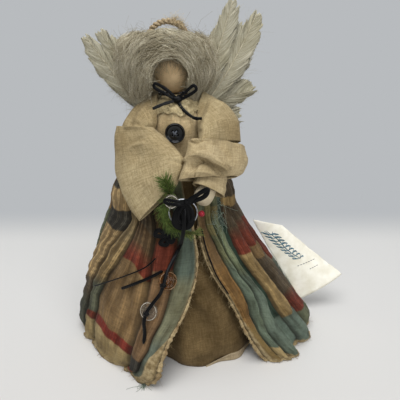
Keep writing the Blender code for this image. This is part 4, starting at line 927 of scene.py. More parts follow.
# %% Wadding along the cut edges
def edge_roll(name, line, outward, wide, deep, seed):
    """A ragged roll along a cut edge: an oval tube whose half widths change with noise."""
    rough = 1 + 0.35 * ripple(line, 5 * MM, seed) + 0.2 * ripple(line, 2 * MM, seed + 1)
    rings = tube_rings(line, wide * rough, deep * rough, 12, outward, 2)
    rings += 0.25 * MM * ripple(rings, 1.6 * MM, seed + 2)[..., None] * unit(rings - line[:, None])
    rings[..., 2] = np.maximum(rings[..., 2], 0.2 * MM)
    return surface(name, rings, WADDING, caps=True)


EDGE_POINTS = 150


def along_seam(number, low, high):
    """Points half way through the quilt's thickness, along one of its strip lines between two shares of the height."""
    column = int(round(number * PER_STRIP))
    middle = 0.5 * (outer[:, column] + inner[:, column])
    at = np.linspace(low, high, EDGE_POINTS)
    return np.stack([np.interp(at, share, middle[:, i]) for i in range(3)], -1)


left_edge = along_seam(0, 0.0, 0.78)
right_edge = along_seam(STRIPS, 0.0, 0.72)
hem_middle = 0.5 * (outer[0] + inner[0])
wider = 1.3 * MM + 1.9 * MM * np.clip(1 - np.linspace(0, 1.6, EDGE_POINTS), 0, 1)
rolls = [
    edge_roll("left", left_edge, outward(left_edge), wider, 1.7 * MM, 20),
    edge_roll("right", right_edge, outward(right_edge), 0.7 * wider, 1.5 * MM, 24),
]
for name, first, last, seed in (("hem_left", 1, 5, 28), ("hem_right", 13, 19, 32)):
    line = smooth_line(hem_middle[first * PER_STRIP : last * PER_STRIP + 1], 260)
    line[:, 2] = np.maximum(line[:, 2], 1.3 * MM)
    rolls.append(edge_roll(name, line, (0, 0, 1), 1.5 * MM, 0.9 * MM, seed))
ride(merged("quilt_raw_edges", rolls), "quilt")


# %% Hanging threads
def loose_threads(name, roots, ways, long, droop, radius, material, seed, curl=0.3):
    """Short frayed threads: each leaves its root along its way, sinks by droop times the square of t, and curls."""
    dice = np.random.default_rng(seed)
    n = len(roots)
    t = np.linspace(0, 1, 5)[None, :, None]
    reach = (long * dice.uniform(0.3, 1.0, n))[:, None, None]
    swing = dice.normal(size=(n, 1, 3)) * curl
    sway = curl * 0.5 * np.sin(5 * t + dice.uniform(0, 6, (n, 1, 1))) * np.roll(swing, 1, -1)
    lines = roots[:, None] + reach * (t * ways[:, None] + swing * t**2 + sway)
    lines[..., 2] = np.maximum(lines[..., 2] - droop * reach[..., 0] * t[..., 0] ** 2, 0.4 * MM)
    return many_tubes(name, lines, radius * dice.uniform(0.6, 1.2, n), radius, (0.1, -1, 0.2), material, 3, 0.6)


FRAY = 0.12 * MM
pick = random.integers(0, EDGE_POINTS, 150)
fringe = []
for name, edge, way, seed in (("a", left_edge, (0.5, -0.6, -0.3), 41), ("b", right_edge, (-0.5, -0.6, -0.3), 42)):
    ways = unit(np.array(way) + 0.5 * random.normal(size=(150, 3)))
    fringe.append(loose_threads(name, edge[pick], ways, 5 * MM, 0.5, FRAY, WADDING, seed))
roots = hem_middle[random.integers(0, len(hem_middle), 330)]
ways = unit(outward(roots) + np.array((0, 0, -0.4)) + 0.5 * random.normal(size=(330, 3)))
fringe.append(loose_threads("c", roots, ways, 4 * MM, 0.8, FRAY, WADDING, 43))
ride(merged("quilt_fringe", fringe), "quilt")

# %% [markdown]
# ## Cloth pieces
# A cloth is a grid with a thin wall.


def cloth(name, points, material, slot, nodes, wall, wrap=True):
    """A thin cloth from a grid, with a wall, on the root body in place of the nodes named."""
    made = thicken(surface(name, points, material, wrap=wrap), wall)
    ride(made, slot, *nodes)
    return made


# %% [markdown]
# ## Stuffed head and arms
# Stuffed muslin is round and slightly lumpy. The shapes start a little small and a short cloth simulation blows them up
# from inside. How far a point may move is capped, so that the head still fits its hair and the hand fits its cuff.


# %% Blow up a stuffed piece
STEPS, PRESSURE = 20, 4


def stuffed(made, finish, voxel, cap):
    """Voxel remesh, then steps of cloth under pressure without gravity; each point moves by at most the cap."""
    remesh = made.modifiers.new("Remesh", "REMESH")
    remesh.mode, remesh.voxel_size = "VOXEL", voxel
    bpy.context.view_layer.update()
    mesh = bpy.data.meshes.new_from_object(made.evaluated_get(bpy.context.evaluated_depsgraph_get()))
    made.modifiers.clear()
    made.data = mesh
    start = np.array([v.co for v in mesh.vertices])
    blown = made.modifiers.new("Cloth", "CLOTH")
    blown.settings.use_pressure = True
    blown.settings.uniform_pressure_force = PRESSURE
    blown.settings.effector_weights.gravity = 0
    blown.point_cache.frame_end = STEPS
    for step in range(1, STEPS + 1):
        bpy.context.scene.frame_set(step)
    result = made.evaluated_get(bpy.context.evaluated_depsgraph_get()).data
    move = np.array([v.co for v in result.vertices]) - start
    move *= np.minimum(1, cap / np.maximum(np.linalg.norm(move, axis=1, keepdims=True), 1e-9))
    made.modifiers.clear()
    bpy.context.scene.frame_set(1)
    mesh.vertices.foreach_set("co", (start + move).ravel())
    mesh.shade_smooth()
    mesh.materials.clear()
    mesh.materials.append(finish)
    finer = made.modifiers.new("Smooth", "SUBSURF")
    finer.levels = finer.render_levels = 1
    return made


def skin(name, light, dark, pitch=0.75 * MM):
    """Muslin for remeshed pieces, which have no map: its two crossing waves are of x + 0.6 y and of z."""
    tree = Tree(name, 0.92, 0.15)
    x, y, z = tree.axes(tree.add("TexCoord").outputs["Object"])
    woven = tree.times(tree.wave(tree.total(x, tree.times(y, 0.6)), pitch), tree.wave(z, pitch))
    threads = tree.total(woven, tree.times(tree.noise(500.0, 2.0), 2.0))
    stains = tree.tint(tree.noise(60.0, 6.0), (0.36, light), (0.7, dark))
    shade = tree.tint(threads, (0.0, (0.82, 0.81, 0.79)), (1.0, 1.06))
    return tree.finish(tree.mix(0.8, stains, shade, "MULTIPLY"), threads, 0.15 * MM)


SKIN = skin("muslin_skin", "D3B88F", "AE9068")
SKIN_PALE = skin("muslin_skin_pale", "D6C9AE", "B5A688")

# %% Head
HEAD = np.array((-21, 0, 251.6)) * MM
HEAD_HALF = np.array((20, 17.5, 22.5)) * MM


def egg_points(centre, half, rows, columns):
    """An egg from pole to pole: reach = cos(angle) (1 - 0.12 sin(angle)^2), rise = sin(angle)."""
    angle = np.linspace(-math.pi / 2 + 0.06, math.pi / 2 - 0.06, rows)[:, None]
    a = full_turn(columns)[None]
    reach = np.cos(angle) * (1 - 0.12 * np.sin(angle) ** 2)
    ring = np.stack((reach * np.cos(a), reach * np.sin(a), np.sin(angle) + 0 * a), -1)
    return centre + np.asarray(half) * ring


head_points = egg_points(HEAD, HEAD_HALF * 0.965, 40, 60)
head_points[..., 2] = np.maximum(head_points[..., 2], 229.9 * MM)
head_points += unit(head_points - HEAD) * ripple(head_points, 12 * MM, 51)[..., None] * 0.3 * MM
head = stuffed(surface("head_stuffed", head_points, SKIN, caps=True), SKIN, 1.6 * MM, 0.6 * MM)
ride(head, "muslin", "head")


# %% Arms with mitten hands
def placer(x, y, z):
    """A function that turns points in millimetres from this place into places of the frame, in metres."""
    return lambda points: (np.asarray(points, float) + (x, y, z)) * MM


at_waist, at_neck, at_wreath = placer(-18, 0, 172), placer(-18, 0, 229.5), placer(-12.5, -61, 150)
SLEEVE_END = 2.8


def arm_points(route, hand):
    """A loft along a route: round and thin at the sleeve, swelling to the mitten, and drawn in to a rounded tip."""
    line = smooth_line(at_waist(route), 60)
    t = np.linspace(0, 1, 60)
    swell = bump((1 - t) / 0.34)
    tip = np.sqrt(np.clip(1.02 - np.clip((t - 0.86) / 0.14, 0, 1) ** 2, 0.02, 1))
    radius = (SLEEVE_END + (hand - SLEEVE_END) * swell) * MM * tip
    return tube_rings(line, radius, radius * (1 - 0.25 * swell), 32, (0, -1, 0.2), blunt=0)


ARM_LEFT = ((-32, -22, 28), (-29, -27, 20), (-23, -36.5, 6), (-18, -45, -6), (-15.5, -49.5, -14))
ARM_RIGHT = ((22, -10, 42), (32, -21, 31), (33, -31, 19), (28.5, -44, 7.5), (26.3, -48.7, -2), (17.2, -56.4, -17.4))
for name, route, hand in (("arm_left", ARM_LEFT, 4.2), ("arm_right", ARM_RIGHT, 9.4)):
    rings = arm_points(route, hand - 0.4)
    arm = stuffed(surface(name + "_stuffed", rings, SKIN_PALE, caps=True), SKIN_PALE, 1.1 * MM, 0.35 * MM)
    ride(arm, "muslin", name)

# %% [markdown]
# ## Jacket
# The jacket is plain cream cotton, worn open: two lapels run from the shoulders to the waist.
# Its sleeves are flattened tubes between two edge lines, and the wide cuffs are turned back in soft folds.

# %% Jacket back and lapels
jacket_z = np.linspace(179.5, 217.5, 46)[:, None] * MM
jacket_turn = np.radians(np.linspace(58, 302, 92))[None]
reach = clad(body_radius(jacket_z)) + 1.2 * MM
jacket_points = around(reach + 0 * jacket_turn, jacket_turn, jacket_z)
edge_roll_out = np.exp(-np.minimum(jacket_turn - jacket_turn[0, 0], jacket_turn[0, -1] - jacket_turn) / 0.05)
lift = 0.9 * MM * edge_roll_out + 0.25 * MM * ripple(jacket_points, 14 * MM, 61)
jacket_points += outward(jacket_points) * lift[..., None]
jacket = cloth("jacket", jacket_points, CREAM, "cream_cotton", ("jacket_bodice",), 0.9 * MM, wrap=False)


# %% Sleeve and cuff shapes
def sleeve_points(stations, rows, columns):
    """Rings between two edge lines: centre + wide |cos|^0.8 + deep |sin|^0.8, with the signs of cos and sin kept."""
    line = smooth_line(np.array([(*a, *b, d) for a, b, d in stations], float), rows)
    a, b, depth = at_waist(line[:, :3]), at_waist(line[:, 3:6]), line[:, 6:] * MM
    centre, wide = (a + b) / 2, (b - a) / 2
    along = unit(np.gradient(centre, axis=0))
    deep = unit(np.cross(wide, along)) * depth
    t = full_turn(columns)
    c, s = (np.sign(v) * np.abs(v) ** 0.8 for v in (np.cos(t), np.sin(t)))
    points = centre[:, None] + c[None, :, None] * wide[:, None] + s[None, :, None] * deep[:, None]
    return points, unit(points - centre[:, None])


SLEEVE_LEFT = (
    ((-16, 2, 55), (-15, -20, 34), 9), ((-32, 0, 46), (-18, -26, 34), 9),
    ((-42, -7, 36), (-23, -28, 33), 5.8), ((-44, -12, 29), (-25, -33, 26), 5.4),
)
CUFF_LEFT = (
    ((-48, -9, 33), (-19, -31, 36), 7.6), ((-50, -15, 17), (-6, -39, 27), 9), ((-48, -26, -4), (4, -49, 18), 7.4),
    ((-39, -40.5, -21), (4, -53.5, 8), 6.2), ((-29, -49, -34), (1, -54, -2), 5),
)
SLEEVE_RIGHT = (
    ((22, 4, 57), (15, -18, 31), 9), ((37, 1, 47), (17, -27, 33), 11),
    ((48, -4, 34), (18, -34, 31), 9.5), ((50, -12, 20), (17, -42, 25), 5.6),
)
CUFF_RIGHT = (
    ((54, -10, 15), (11, -46, 29), 8.5), ((55, -17, 6), (9, -52, 19), 10.5),
    ((52, -26, -1), (6, -58, 9), 10.5), ((47, -34, -3), (3, -60, 3), 9),
)
WRIST_BAND = (
    ((38, -38, 6), (19, -49, 11), 4.4), ((38, -42, -4), (16, -53, 4), 5.2),
    ((35.5, -47.5, -15), (13.5, -57, -0.5), 7.4),
)


SHOULDERS_END = 224 * MM


def outside_chest(points):
    """Pushes points that fall inside the jacket out to its surface, along the ray from the leaning axis."""
    middle = around(0.0, 0.0, points[..., 2])
    away = points - middle
    least = clad(clad(body_radius(points[..., 2])) + 1.4 * MM) * (points[..., 2] < SHOULDERS_END)
    far = np.linalg.norm(away, axis=-1)
    return middle + away * (np.maximum(far, least) / np.maximum(far, 1e-6))[..., None]


# %% Sleeves
SLEEVE_FOLDS = {
    "left": (
        (((148, 100), (150, 126)), -1.2, 1.6), (((121, 121), (128, 117.5), (138, 120)), 1.0, 2.4),
        (((124, 124), (139, 124.5)), -0.8, 1.6), (((137, 112), (146, 104)), 0.8, 2.5),
    ),
    "right": (
        (((213, 96), (208, 112), (202, 128)), 1.6, 2.4), (((206, 100), (200, 118)), -1.5, 3),
        (((228, 106), (236, 120)), -1.2, 5),
    ),
}
for side, stations in (("left", SLEEVE_LEFT), ("right", SLEEVE_RIGHT)):
    points, out = sleeve_points(stations, 44, 84)
    creases = ripple(points * (1, 1, 0.6), 16 * MM, 71) * 0.8 * MM
    points = outside_chest(press(points + out * creases[..., None], out, SLEEVE_FOLDS[side]))
    node = "sleeve_" + side
    cloth(node + "_cloth", points, CREAM, "cream_cotton", (node,), 1.0 * MM)

# %% [markdown]
# The left cuff is one broad panel with a rolled top corner. The right one is turned back twice: a roll along its top,
# a ridge that runs down to the right, and a flap under it that shows the narrow wrist band and the mitten.

# %% Cuffs
CUFF_FOLDS = {
    "left": (
        (((119, 129), (130, 126), (143, 127), (151, 131)), 1.8, 2.2),
        (((120, 158), (127, 151), (134, 146), (142, 143)), 2.0, 2.2),
        (((124, 151), (131, 144), (142, 138)), -1.4, 2.6),
        (((124, 168), (136, 158), (150, 152)), -1.0, 4.0),
        (((152, 130), (166, 143), (183, 160)), 1.2, 2.0),
        (((170, 160), (177, 162), (184, 164)), -1.6, 1.2),
        (((121, 132), (122, 142)), -1.4, 1.4),
        (((131, 200), (140, 186), (160, 176)), 0.8, 6.0),
    ),
    "right": (
        (((192, 142), (203, 135), (222, 138), (238, 148)), 2.2, 3.0),
        (((191, 142), (196, 144), (203, 139.5)), -2.6, 1.5),
        (((186, 160), (194, 154), (203, 153), (214, 158), (228, 168)), 3.4, 2.2),
        (((189, 168), (196, 161), (207, 163), (219, 170), (229, 178)), -6.5, 2.3),
        (((190, 174), (198, 171), (208, 173), (222, 182)), 1.6, 2.2),
        (((197, 160), (194, 170), (191, 180)), -3.2, 1.9),
        (((200, 180), (212, 184), (222, 190)), -1.4, 3.0),
        (((233, 146), (235, 158), (236, 172)), -2.4, 1.4),
        (((237, 148), (239, 160)), 1.4, 2.4),
        (((235, 157.5), (246, 156.5)), -1.6, 1.1),
        (((206, 141), (218, 146), (229, 156)), -1.8, 3.0),
    ),
}
for side, stations, seed in (("left", CUFF_LEFT, 81), ("right", CUFF_RIGHT, 82)):
    points, out = sleeve_points(stations, 60, 110)
    creases = ripple(points, 17 * MM, seed) * 0.9 * MM + ripple(points, 6 * MM, seed + 5) * 0.15 * MM
    points = press(points + out * creases[..., None], out, CUFF_FOLDS[side])
    finish = CREAM if side == "left" else CREAM_LIGHT
    cloth("cuff_" + side + "_cloth", points, finish, "cream_cotton", ("cuff_" + side,), 1.1 * MM)


def on_cloth(cloth_points, spots):
    """The points of a cloth seen at these places of the camera's frame: the nearest to the eye within 3 units."""
    flat = cloth_points.reshape(-1, 3)
    far = np.linalg.norm(frame_place(flat)[None] - np.array(spots, float)[:, None], axis=2)
    depth = (flat - EYE) @ LOOK
    return flat[np.argmin(np.where(far < 3, depth[None], depth.max() + far), axis=1)]


ROLL_SEEN = ((188, 157), (197, 155.5), (205, 157.5), (214, 162), (223, 167), (231, 172.5))
roll_line = smooth_line(on_cloth(points, ROLL_SEEN), 50)
roll_line += unit(EYE - roll_line) * 2.1 * MM
swell = np.sin(np.pi * np.linspace(0.02, 0.98, 50)) ** 0.6
roll = tube_rings(roll_line, 2.6 * MM * swell, 2.3 * MM * swell, 20, EYE - roll_line, 0)
roll += (ripple(roll, 7 * MM, 97) * 0.35 * MM)[..., None] * unit(roll - roll_line[:, None])
ride(surface("cuff_right_roll", roll, CREAM_LIGHT, caps=True), "cream_cotton")

points, out = sleeve_points(WRIST_BAND, 30, 64)
points += out * (ripple(points, 8 * MM, 91) * 0.35 * MM)[..., None]
cloth("wrist_band_cloth", points, CREAM_LIGHT, "cream_cotton", ("wrist_band",), 0.9 * MM)

# %% [markdown]
# ## Gauze and bow at the neck
# A frayed strip of gauze is ruffled round the neck, and a narrow black satin ribbon is tied over it.
# A ribbon is a thin oval carried along a route, with a knot where the loops meet.

# %% Neck gauze
gauze_z = np.linspace(218.5, 228.3, 24)[:, None] * MM
gauze_turn = full_turn(180)[None]
ruffle = 0.5 + 0.5 * np.cos(19 * gauze_turn + 700 * gauze_z + 1.5 * np.sin(3 * gauze_turn))
gauze_radius = clad(body_radius(gauze_z)) + 0.8 * MM + 1.5 * MM * ruffle
drop = 0.5 + 0.5 * np.sin(5 * gauze_turn + 1.2) * np.sin(11 * gauze_turn)
gauze_z = gauze_z - 3.5 * MM * drop * (1 - (gauze_z - 218.5 * MM) / (9.8 * MM))
gauze_radius = np.maximum(gauze_radius, clad(body_radius(gauze_z)) + 0.9 * MM + 0.6 * MM * ruffle)
gauze_points = around(gauze_radius, gauze_turn, gauze_z)
gauze_points += outward(gauze_points) * ripple(gauze_points, 3 * MM, 95)[..., None] * 0.55 * MM
cloth("neck_gauze_cloth", gauze_points, GAUZE, "gauze", ("neck_gauze",), 0.5 * MM)
pick = random.integers(0, 180, 500)
level = random.integers(0, 18, 500)
roots = gauze_points[level, pick]
ways = unit(roots - around(0.0, 0.0, roots[:, 2]) + random.normal(size=(500, 3)) * 9 * MM + (0, 0, -9 * MM))
ride(loose_threads("neck_gauze_threads", roots, ways, 6.5 * MM, 0.3, 0.17 * MM, GAUZE, 96, 0.6), "gauze")


# %% Ribbons
def ribbon(route, half_width, material=SATIN, half_depth=0.35 * MM, facing=(0, -1, 0.15), count=60):
    """A flat ribbon: an oval along a smooth route, with a slow ripple of its width."""
    line = smooth_line(route, count)
    wide = half_width * (1 + 0.06 * np.sin(np.linspace(0, 19, count)))
    return surface("ribbon", tube_rings(line, wide, half_depth, 12, facing, 2), material, caps=True)


def knot(centre, half):
    """A small crumpled knot: an egg whose skin has folds that cross it."""
    points = egg_points(centre, half, 20, 28)
    out = unit(points - centre)
    points += out * (0.14 * min(half) * np.sin(9 * out[..., 0] + 5 * out[..., 2] + 2 * out[..., 1]))[..., None]
    return surface("knot", points, SATIN, caps=True)


def bow(name, node, parts, knot_at, knot_half, *more):
    """Ribbons, a knot where they meet and what else is given, as one piece of black satin."""
    ride(merged(name, [*parts, knot(knot_at, np.array(knot_half) * MM), *more]), "black_satin", node)


NECK_BOW = (
    ((0, -20.4, -3), (-7, -22.4, 1.4), (-16, -23, 6.6), (-15, -23, 9.6), (-7, -22.4, 5.0), (0, -20.4, -1.6)),
    ((0.6, -20.4, -1.8), (7, -22.4, 3.4), (13, -23, 8.1), (15, -23, 5), (8, -22.4, 0.2), (0.6, -20.4, -3)),
    ((0.2, -20.4, -3), (-8.6, -24, -4.9), (-17.9, -27, -8.5)),
    ((0.6, -20.4, -3), (5.5, -24, -9.8), (13, -27.5, -15), (19.5, -28.5, -15.6)),
)
BAND = 14.6
turn = full_turn(60)
band_line = np.stack((-18 + BAND * np.sin(turn), -3 - BAND * np.cos(turn), 230 + 0 * turn), -1) * MM
band = surface("band", tube_rings(band_line, 1.1 * MM, 0.5 * MM, 10, (0, 0, 1), 0), SATIN, caps=True)
parts = [ribbon(at_neck(route), 1.2 * MM, half_depth=0.25 * MM) for route in NECK_BOW]
bow("neck_bow_ribbon", "neck_bow", parts, at_neck((0.3, -20.2, -2.4)), (3.9, 2.2, 2.9), band)

# %% [markdown]
# ## Buttons
# A button is a profile turned round an axis. The sewing holes are pits: the height drops near the centre of a hole.


# %% Button maker
def axes_for(facing):
    """Two directions across and one along the facing direction."""
    n = unit(np.asarray(facing, float))
    x = unit(np.cross((0, 0, 1.0), n))
    return x, np.cross(n, x), n


BUTTON_PROFILE = (
    (0.02, 0), (0.5, 0), (0.9, 0), (0.99, 0.25), (1, 0.5), (0.97, 0.85), (0.93, 0.99), (0.88, 1.0), (0.82, 0.9),
    (0.78, 0.68), (0.72, 0.58), (0.55, 0.55), (0.4, 0.55), (0.25, 0.55), (0.12, 0.55), (0.02, 0.55),
)
FIRST_HOLE, HOLE_REACH, HOLE_RADIUS = 0.9, 2.1 * MM, 1.05 * MM


def button(name, where, facing, radius, thickness, holes, material):
    """Turned profile: flat back, rounded edge, raised rim and hollow face, with a pit for each hole."""
    profile = smooth_line(np.array(BUTTON_PROFILE), 60)
    a = full_turn(64)
    x = radius * profile[:, :1] * np.cos(a)
    y = radius * profile[:, :1] * np.sin(a)
    z = thickness * profile[:, 1:] + 0 * a
    top = (np.arange(60) > 33)[:, None]
    for b in FIRST_HOLE + full_turn(holes):
        far = np.hypot(x - HOLE_REACH * math.cos(b), y - HOLE_REACH * math.sin(b))
        z = z - top * 0.45 * thickness * np.clip((HOLE_RADIUS - far) / (0.3 * MM), 0, 1)
    u, v, n = axes_for(facing)
    points = np.asarray(where) + x[..., None] * u + y[..., None] * v + z[..., None] * n
    return surface(name, points, material, caps=True)


CHEST_BUTTON = np.array((-19.3, -25.3, 202.4)) * MM
chest = button("chest_button_turned", CHEST_BUTTON, (0, -1, 0), 7.9 * MM, 3.2 * MM, 4, BLACK)
ride(chest, "black_button", "chest_button")

# %% Thread through the button: for each pair of holes three stitches, each a step across and a height above the face
FACE_AT = np.array((0, -1.76, 0)) * MM
stitches = []
for i, turn_by in enumerate((FIRST_HOLE, FIRST_HOLE + math.pi / 2)):
    way = np.array((math.cos(turn_by), 0, math.sin(turn_by)))
    beside = np.array((-way[2], 0, way[0]))
    high, low = -1.35 - 0.3 * i, -1.05 - 0.25 * i
    steps = np.array(((-2.1, 1.0), (-2.0, -0.2), (-1.3, low), (0, high), (1.3, low), (2.0, -0.2), (2.1, 1.0)))
    for shift in (-0.45, 0.1, 0.5):
        route = CHEST_BUTTON + FACE_AT + steps[:, :1] * MM * way + steps[:, 1:] * np.array((0, MM, 0))
        route += shift * 0.7 * MM * beside
        stitches.append(ribbon(route, 0.24 * MM, THREAD, 0.24 * MM, (0.2, 1, 0.1), 24))
ride(merged("chest_button_thread", stitches), "grey_thread", "button_stitches")

# %% Clear buttons, each with a ring painted on as the highlight of its rim: node, place, facing, radius, thickness, holes, finish and rim highlight finish
# Painted highlights: opaque rings, pale on clear and amber on amber plastic, stand in for the light caught on the rims.
RIM_HIGHLIGHT = plain("pale_rim_highlight", "DED8CC", "A9A292", 300.0, 0.3, 0.02 * MM, shine=0.5)
AMBER_RIM_HIGHLIGHT = plain("amber_rim_highlight", "B08F68", "7C6044", 300.0, 0.3, 0.02 * MM, shine=0.5)
CLEAR_BUTTONS = (
    ("clear_button_low", (-40.39, -65.78, 67.5), (-0.3292, -0.8823, 0.3364), 7.6, 2, 2, CLEAR_PLASTIC, RIM_HIGHLIGHT),
    ("clear_button_middle", (-25.57, -61.78, 92.87), (0.4126, -0.8457, 0.3384), 7.6, 2, 0, AMBER_PLASTIC, AMBER_RIM_HIGHLIGHT),
    ("clear_button_top", (-20.5, -65.2, 160.6), (0, -1, 0), 5.3, 1.8, 0, CLEAR_PLASTIC, RIM_HIGHLIGHT),
)
for node, where, facing, radius, thick, holes, finish, rim_highlight_finish in CLEAR_BUTTONS:
    where, a = np.array(where) * MM, full_turn(60)[:, None]
    made = button(node + "_disc", where, facing, radius * MM, thick * MM, holes, finish)
    ring = np.concatenate(((radius - 0.75) * np.cos(a), (radius - 0.75) * np.sin(a), thick * 0.98 + 0 * a), 1) * MM
    rings = tube_rings(where + ring @ np.stack(axes_for(facing)), 0.18 * MM, 0.14 * MM, 8, facing, 0)
    ride(merged(node + "_turned", [made, surface("rim", rings, rim_highlight_finish, caps=True)]), "clear_plastic", node)

# %% [markdown]
# ## Wool hair
# Unspun wool lies in a mop round the head. A dark under-layer, its colour painted shade inside the mop, gives it body,
# and thousands of thin fibres lie on it in locks. Every fibre is walked over the mop step by step: at the front it runs
# to the sides, then it hangs, and it steers round the face.

# %% The mop's form
HAIR_MIDDLE = np.array((-27, 2, 231.5)) * MM
HAIR_HEART = HAIR_MIDDLE + (0, 0, 22 * MM)
HAIR_SHAPE = np.array((
    (0, 0.7), (0.08, 0.84), (0.22, 0.95), (0.42, 1.0), (0.62, 0.99), (0.78, 0.95), (0.89, 0.82), (0.96, 0.56),
    (1, 0.15),
))
HAIR_HALF = np.array((37.0, 23.5)) * MM
HAIR_TALL = 46.5 * MM
FACE = np.array((-22.5, 243.5)) * MM
FACE_HALF = np.array((13.6, 14.0)) * MM


def mop(turn, level):
    """A point of the mop: an oval of the profile's size at the level, swollen and dented by a soft random field."""
    size = read(HAIR_SHAPE, np.clip(level, 0, 1))
    x, y = size * HAIR_HALF[0] * np.cos(turn), size * HAIR_HALF[1] * np.sin(turn)
    p = np.stack((x, y, HAIR_TALL * level + 0 * turn), -1)
    return HAIR_MIDDLE + p * (1 + 0.05 * ripple(p, 20 * MM, 101)[..., None] * (1, 1, 0.3))


def face_reach(p):
    """Distance from the middle of the face, 1 at its rim: an oval above the middle, and straight sides below it."""
    return np.hypot((p[..., 0] - FACE[0]) / FACE_HALF[0], np.maximum(p[..., 2] - FACE[1], 0) / FACE_HALF[1])


def off_face(p, keep):
    """Moves points in front of the face out to the rim: away from its middle above it, and sideways below it."""
    far = face_reach(p)
    grow = np.where((p[..., 1] < -3 * MM) & (far < keep), keep / np.maximum(far, 0.08), 1.0)
    x = FACE[0] + (p[..., 0] - FACE[0]) * grow
    z = np.where(p[..., 2] > FACE[1], FACE[1] + (p[..., 2] - FACE[1]) * grow, p[..., 2])
    return np.stack((x, p[..., 1], z), -1)


level = np.linspace(0, 1, 46)[:, None]
turn = full_turn(90)[None]
under = HAIR_HEART + (mop(turn + 0 * level, level + 0 * turn) - HAIR_HEART) * 0.95
open_front = np.clip((1.12 - face_reach(under)) / 0.2, 0, 1) * (under[..., 1] < -2 * MM)
under[..., 1] += open_front * np.maximum(-6 * MM - under[..., 1], 0)
under += unit(under - HAIR_HEART) * (ripple(under, 5 * MM, 102) * 0.5 * MM * (1 - open_front))[..., None]
# The under-layer carries the dark painted shade inside the mop.
ride(surface("hair_under", under, WOOL_SHADE, caps=True), "wool", "hair")


# %% Fibres of wool
STATIONS = 6


def hair_fibres(name, count, locks, seed, lift, long, radius, curl):
    """Fibres in locks: each walks in steps of sideways + down + sway, at the mop's surface plus a lift that grows."""
    dice = np.random.default_rng(seed)
    lock = dice.integers(0, locks, count)
    a = dice.uniform(0, 2 * math.pi, locks)[lock]
    v = (dice.uniform(0.06, 1.0, locks) ** 0.75)[lock]
    side = np.where(np.cos(a) + 0.35 * dice.normal(size=locks)[lock] > 0, 1, -1)
    wave = dice.normal(size=(2, locks))[:, lock] + 0.25 * dice.normal(size=(2, count))
    apart = dice.normal(size=(2, count)) * ((0.15,), (0.07,))
    raised = lift * (0.35 * dice.uniform(size=locks)[lock] + 0.65 * dice.uniform(size=count) ** 2)
    reach = long * dice.uniform(0.6, 1.2, count)
    keep = 0.95 + 0.16 * dice.uniform(size=locks)[lock] + 0.3 * dice.uniform(size=count) ** 2
    bend = dice.normal(size=(2, count)) * curl * MM
    stations = []
    for step in range(STATIONS):
        along = step / (STATIONS - 1)
        turn, level = a + apart[0] * (1 - 0.4 * along), np.clip(v + apart[1] * (1 - 0.4 * along), -0.08, 1)
        p = mop(turn, level)
        crown = bump((level - 1) / 0.4) * np.clip(1.3 - np.abs(np.cos(turn)), 0, 1)
        p = p + unit(p - HAIR_HEART) * (raised * (0.3 + 0.9 * along) * (1 - 0.75 * crown))[:, None]
        curve = np.sin(5.5 * along + 2 * wave[0])
        rise = np.cos(4.5 * along + wave[1]) * (1 - 0.8 * crown)
        stations.append(off_face(p, keep) + np.stack((bend[0] * curve, 0 * curve, bend[1] * rise), -1))
        front = np.clip(-np.sin(a), 0, 1)
        down = 0.3 + 0.7 * np.maximum(np.clip(np.abs(np.cos(a)) * 1.3, 0, 1) ** 1.5, 1 - front)
        sway = 0.7 * np.sin(7 * along + 3 * wave[0]) + 0.35 * wave[1]
        size = np.maximum(read(HAIR_SHAPE, np.clip(v, 0, 1)), 0.2) * HAIR_HALF[0]
        a = a + side * (front * (1.15 - down) + 0.35 * sway) * reach / STATIONS / size
        v = v - (down + 0.35 * sway) * reach / STATIONS / HAIR_TALL
    lines = np.stack(stations, 1)
    steps = np.linalg.norm(np.diff(lines, axis=1), axis=2)
    fine = (steps.max(1) < 12 * MM) & (steps.min(1) > 0.1 * MM)
    tone = (0.55 * dice.uniform(size=locks)[lock] + 0.45 * dice.uniform(size=count))[fine]
    wide = radius * dice.uniform(0.6, 1.3, fine.sum())
    made = many_tubes(name, lines[fine], wide, radius * 0.8, (0.1, -1, 0.1), WOOL, 3, 0.4)
    carry(made, "tone", np.repeat(tone, 3 * STATIONS))
    return made


ride(hair_fibres("hair_fibres_inner", 3200, 200, 111, 3.0 * MM, 28 * MM, 0.25 * MM, 0.5), "wool")
ride(hair_fibres("hair_fibres_outer", 3900, 700, 112, 6.5 * MM, 32 * MM, 0.13 * MM, 1.2), "wool")

# %% [markdown]
# A halo of short stray fibres softens the outline, and a fringe of short ones hangs over the rim of the face.

# %% Stray fibres
dice = np.random.default_rng(113)
stray_turn, stray_level = dice.uniform(0, 2 * math.pi, 1750), dice.uniform(0.0, 0.97, 1750)
root = mop(stray_turn, stray_level)
keep_root = ~((root[:, 1] < -3 * MM) & (face_reach(root) < 1.15))
root = root[keep_root]
way = unit(unit(root - HAIR_HEART) * (1, 0.5, 0.8) + 0.8 * dice.normal(size=root.shape) + (0, 0, -0.2))

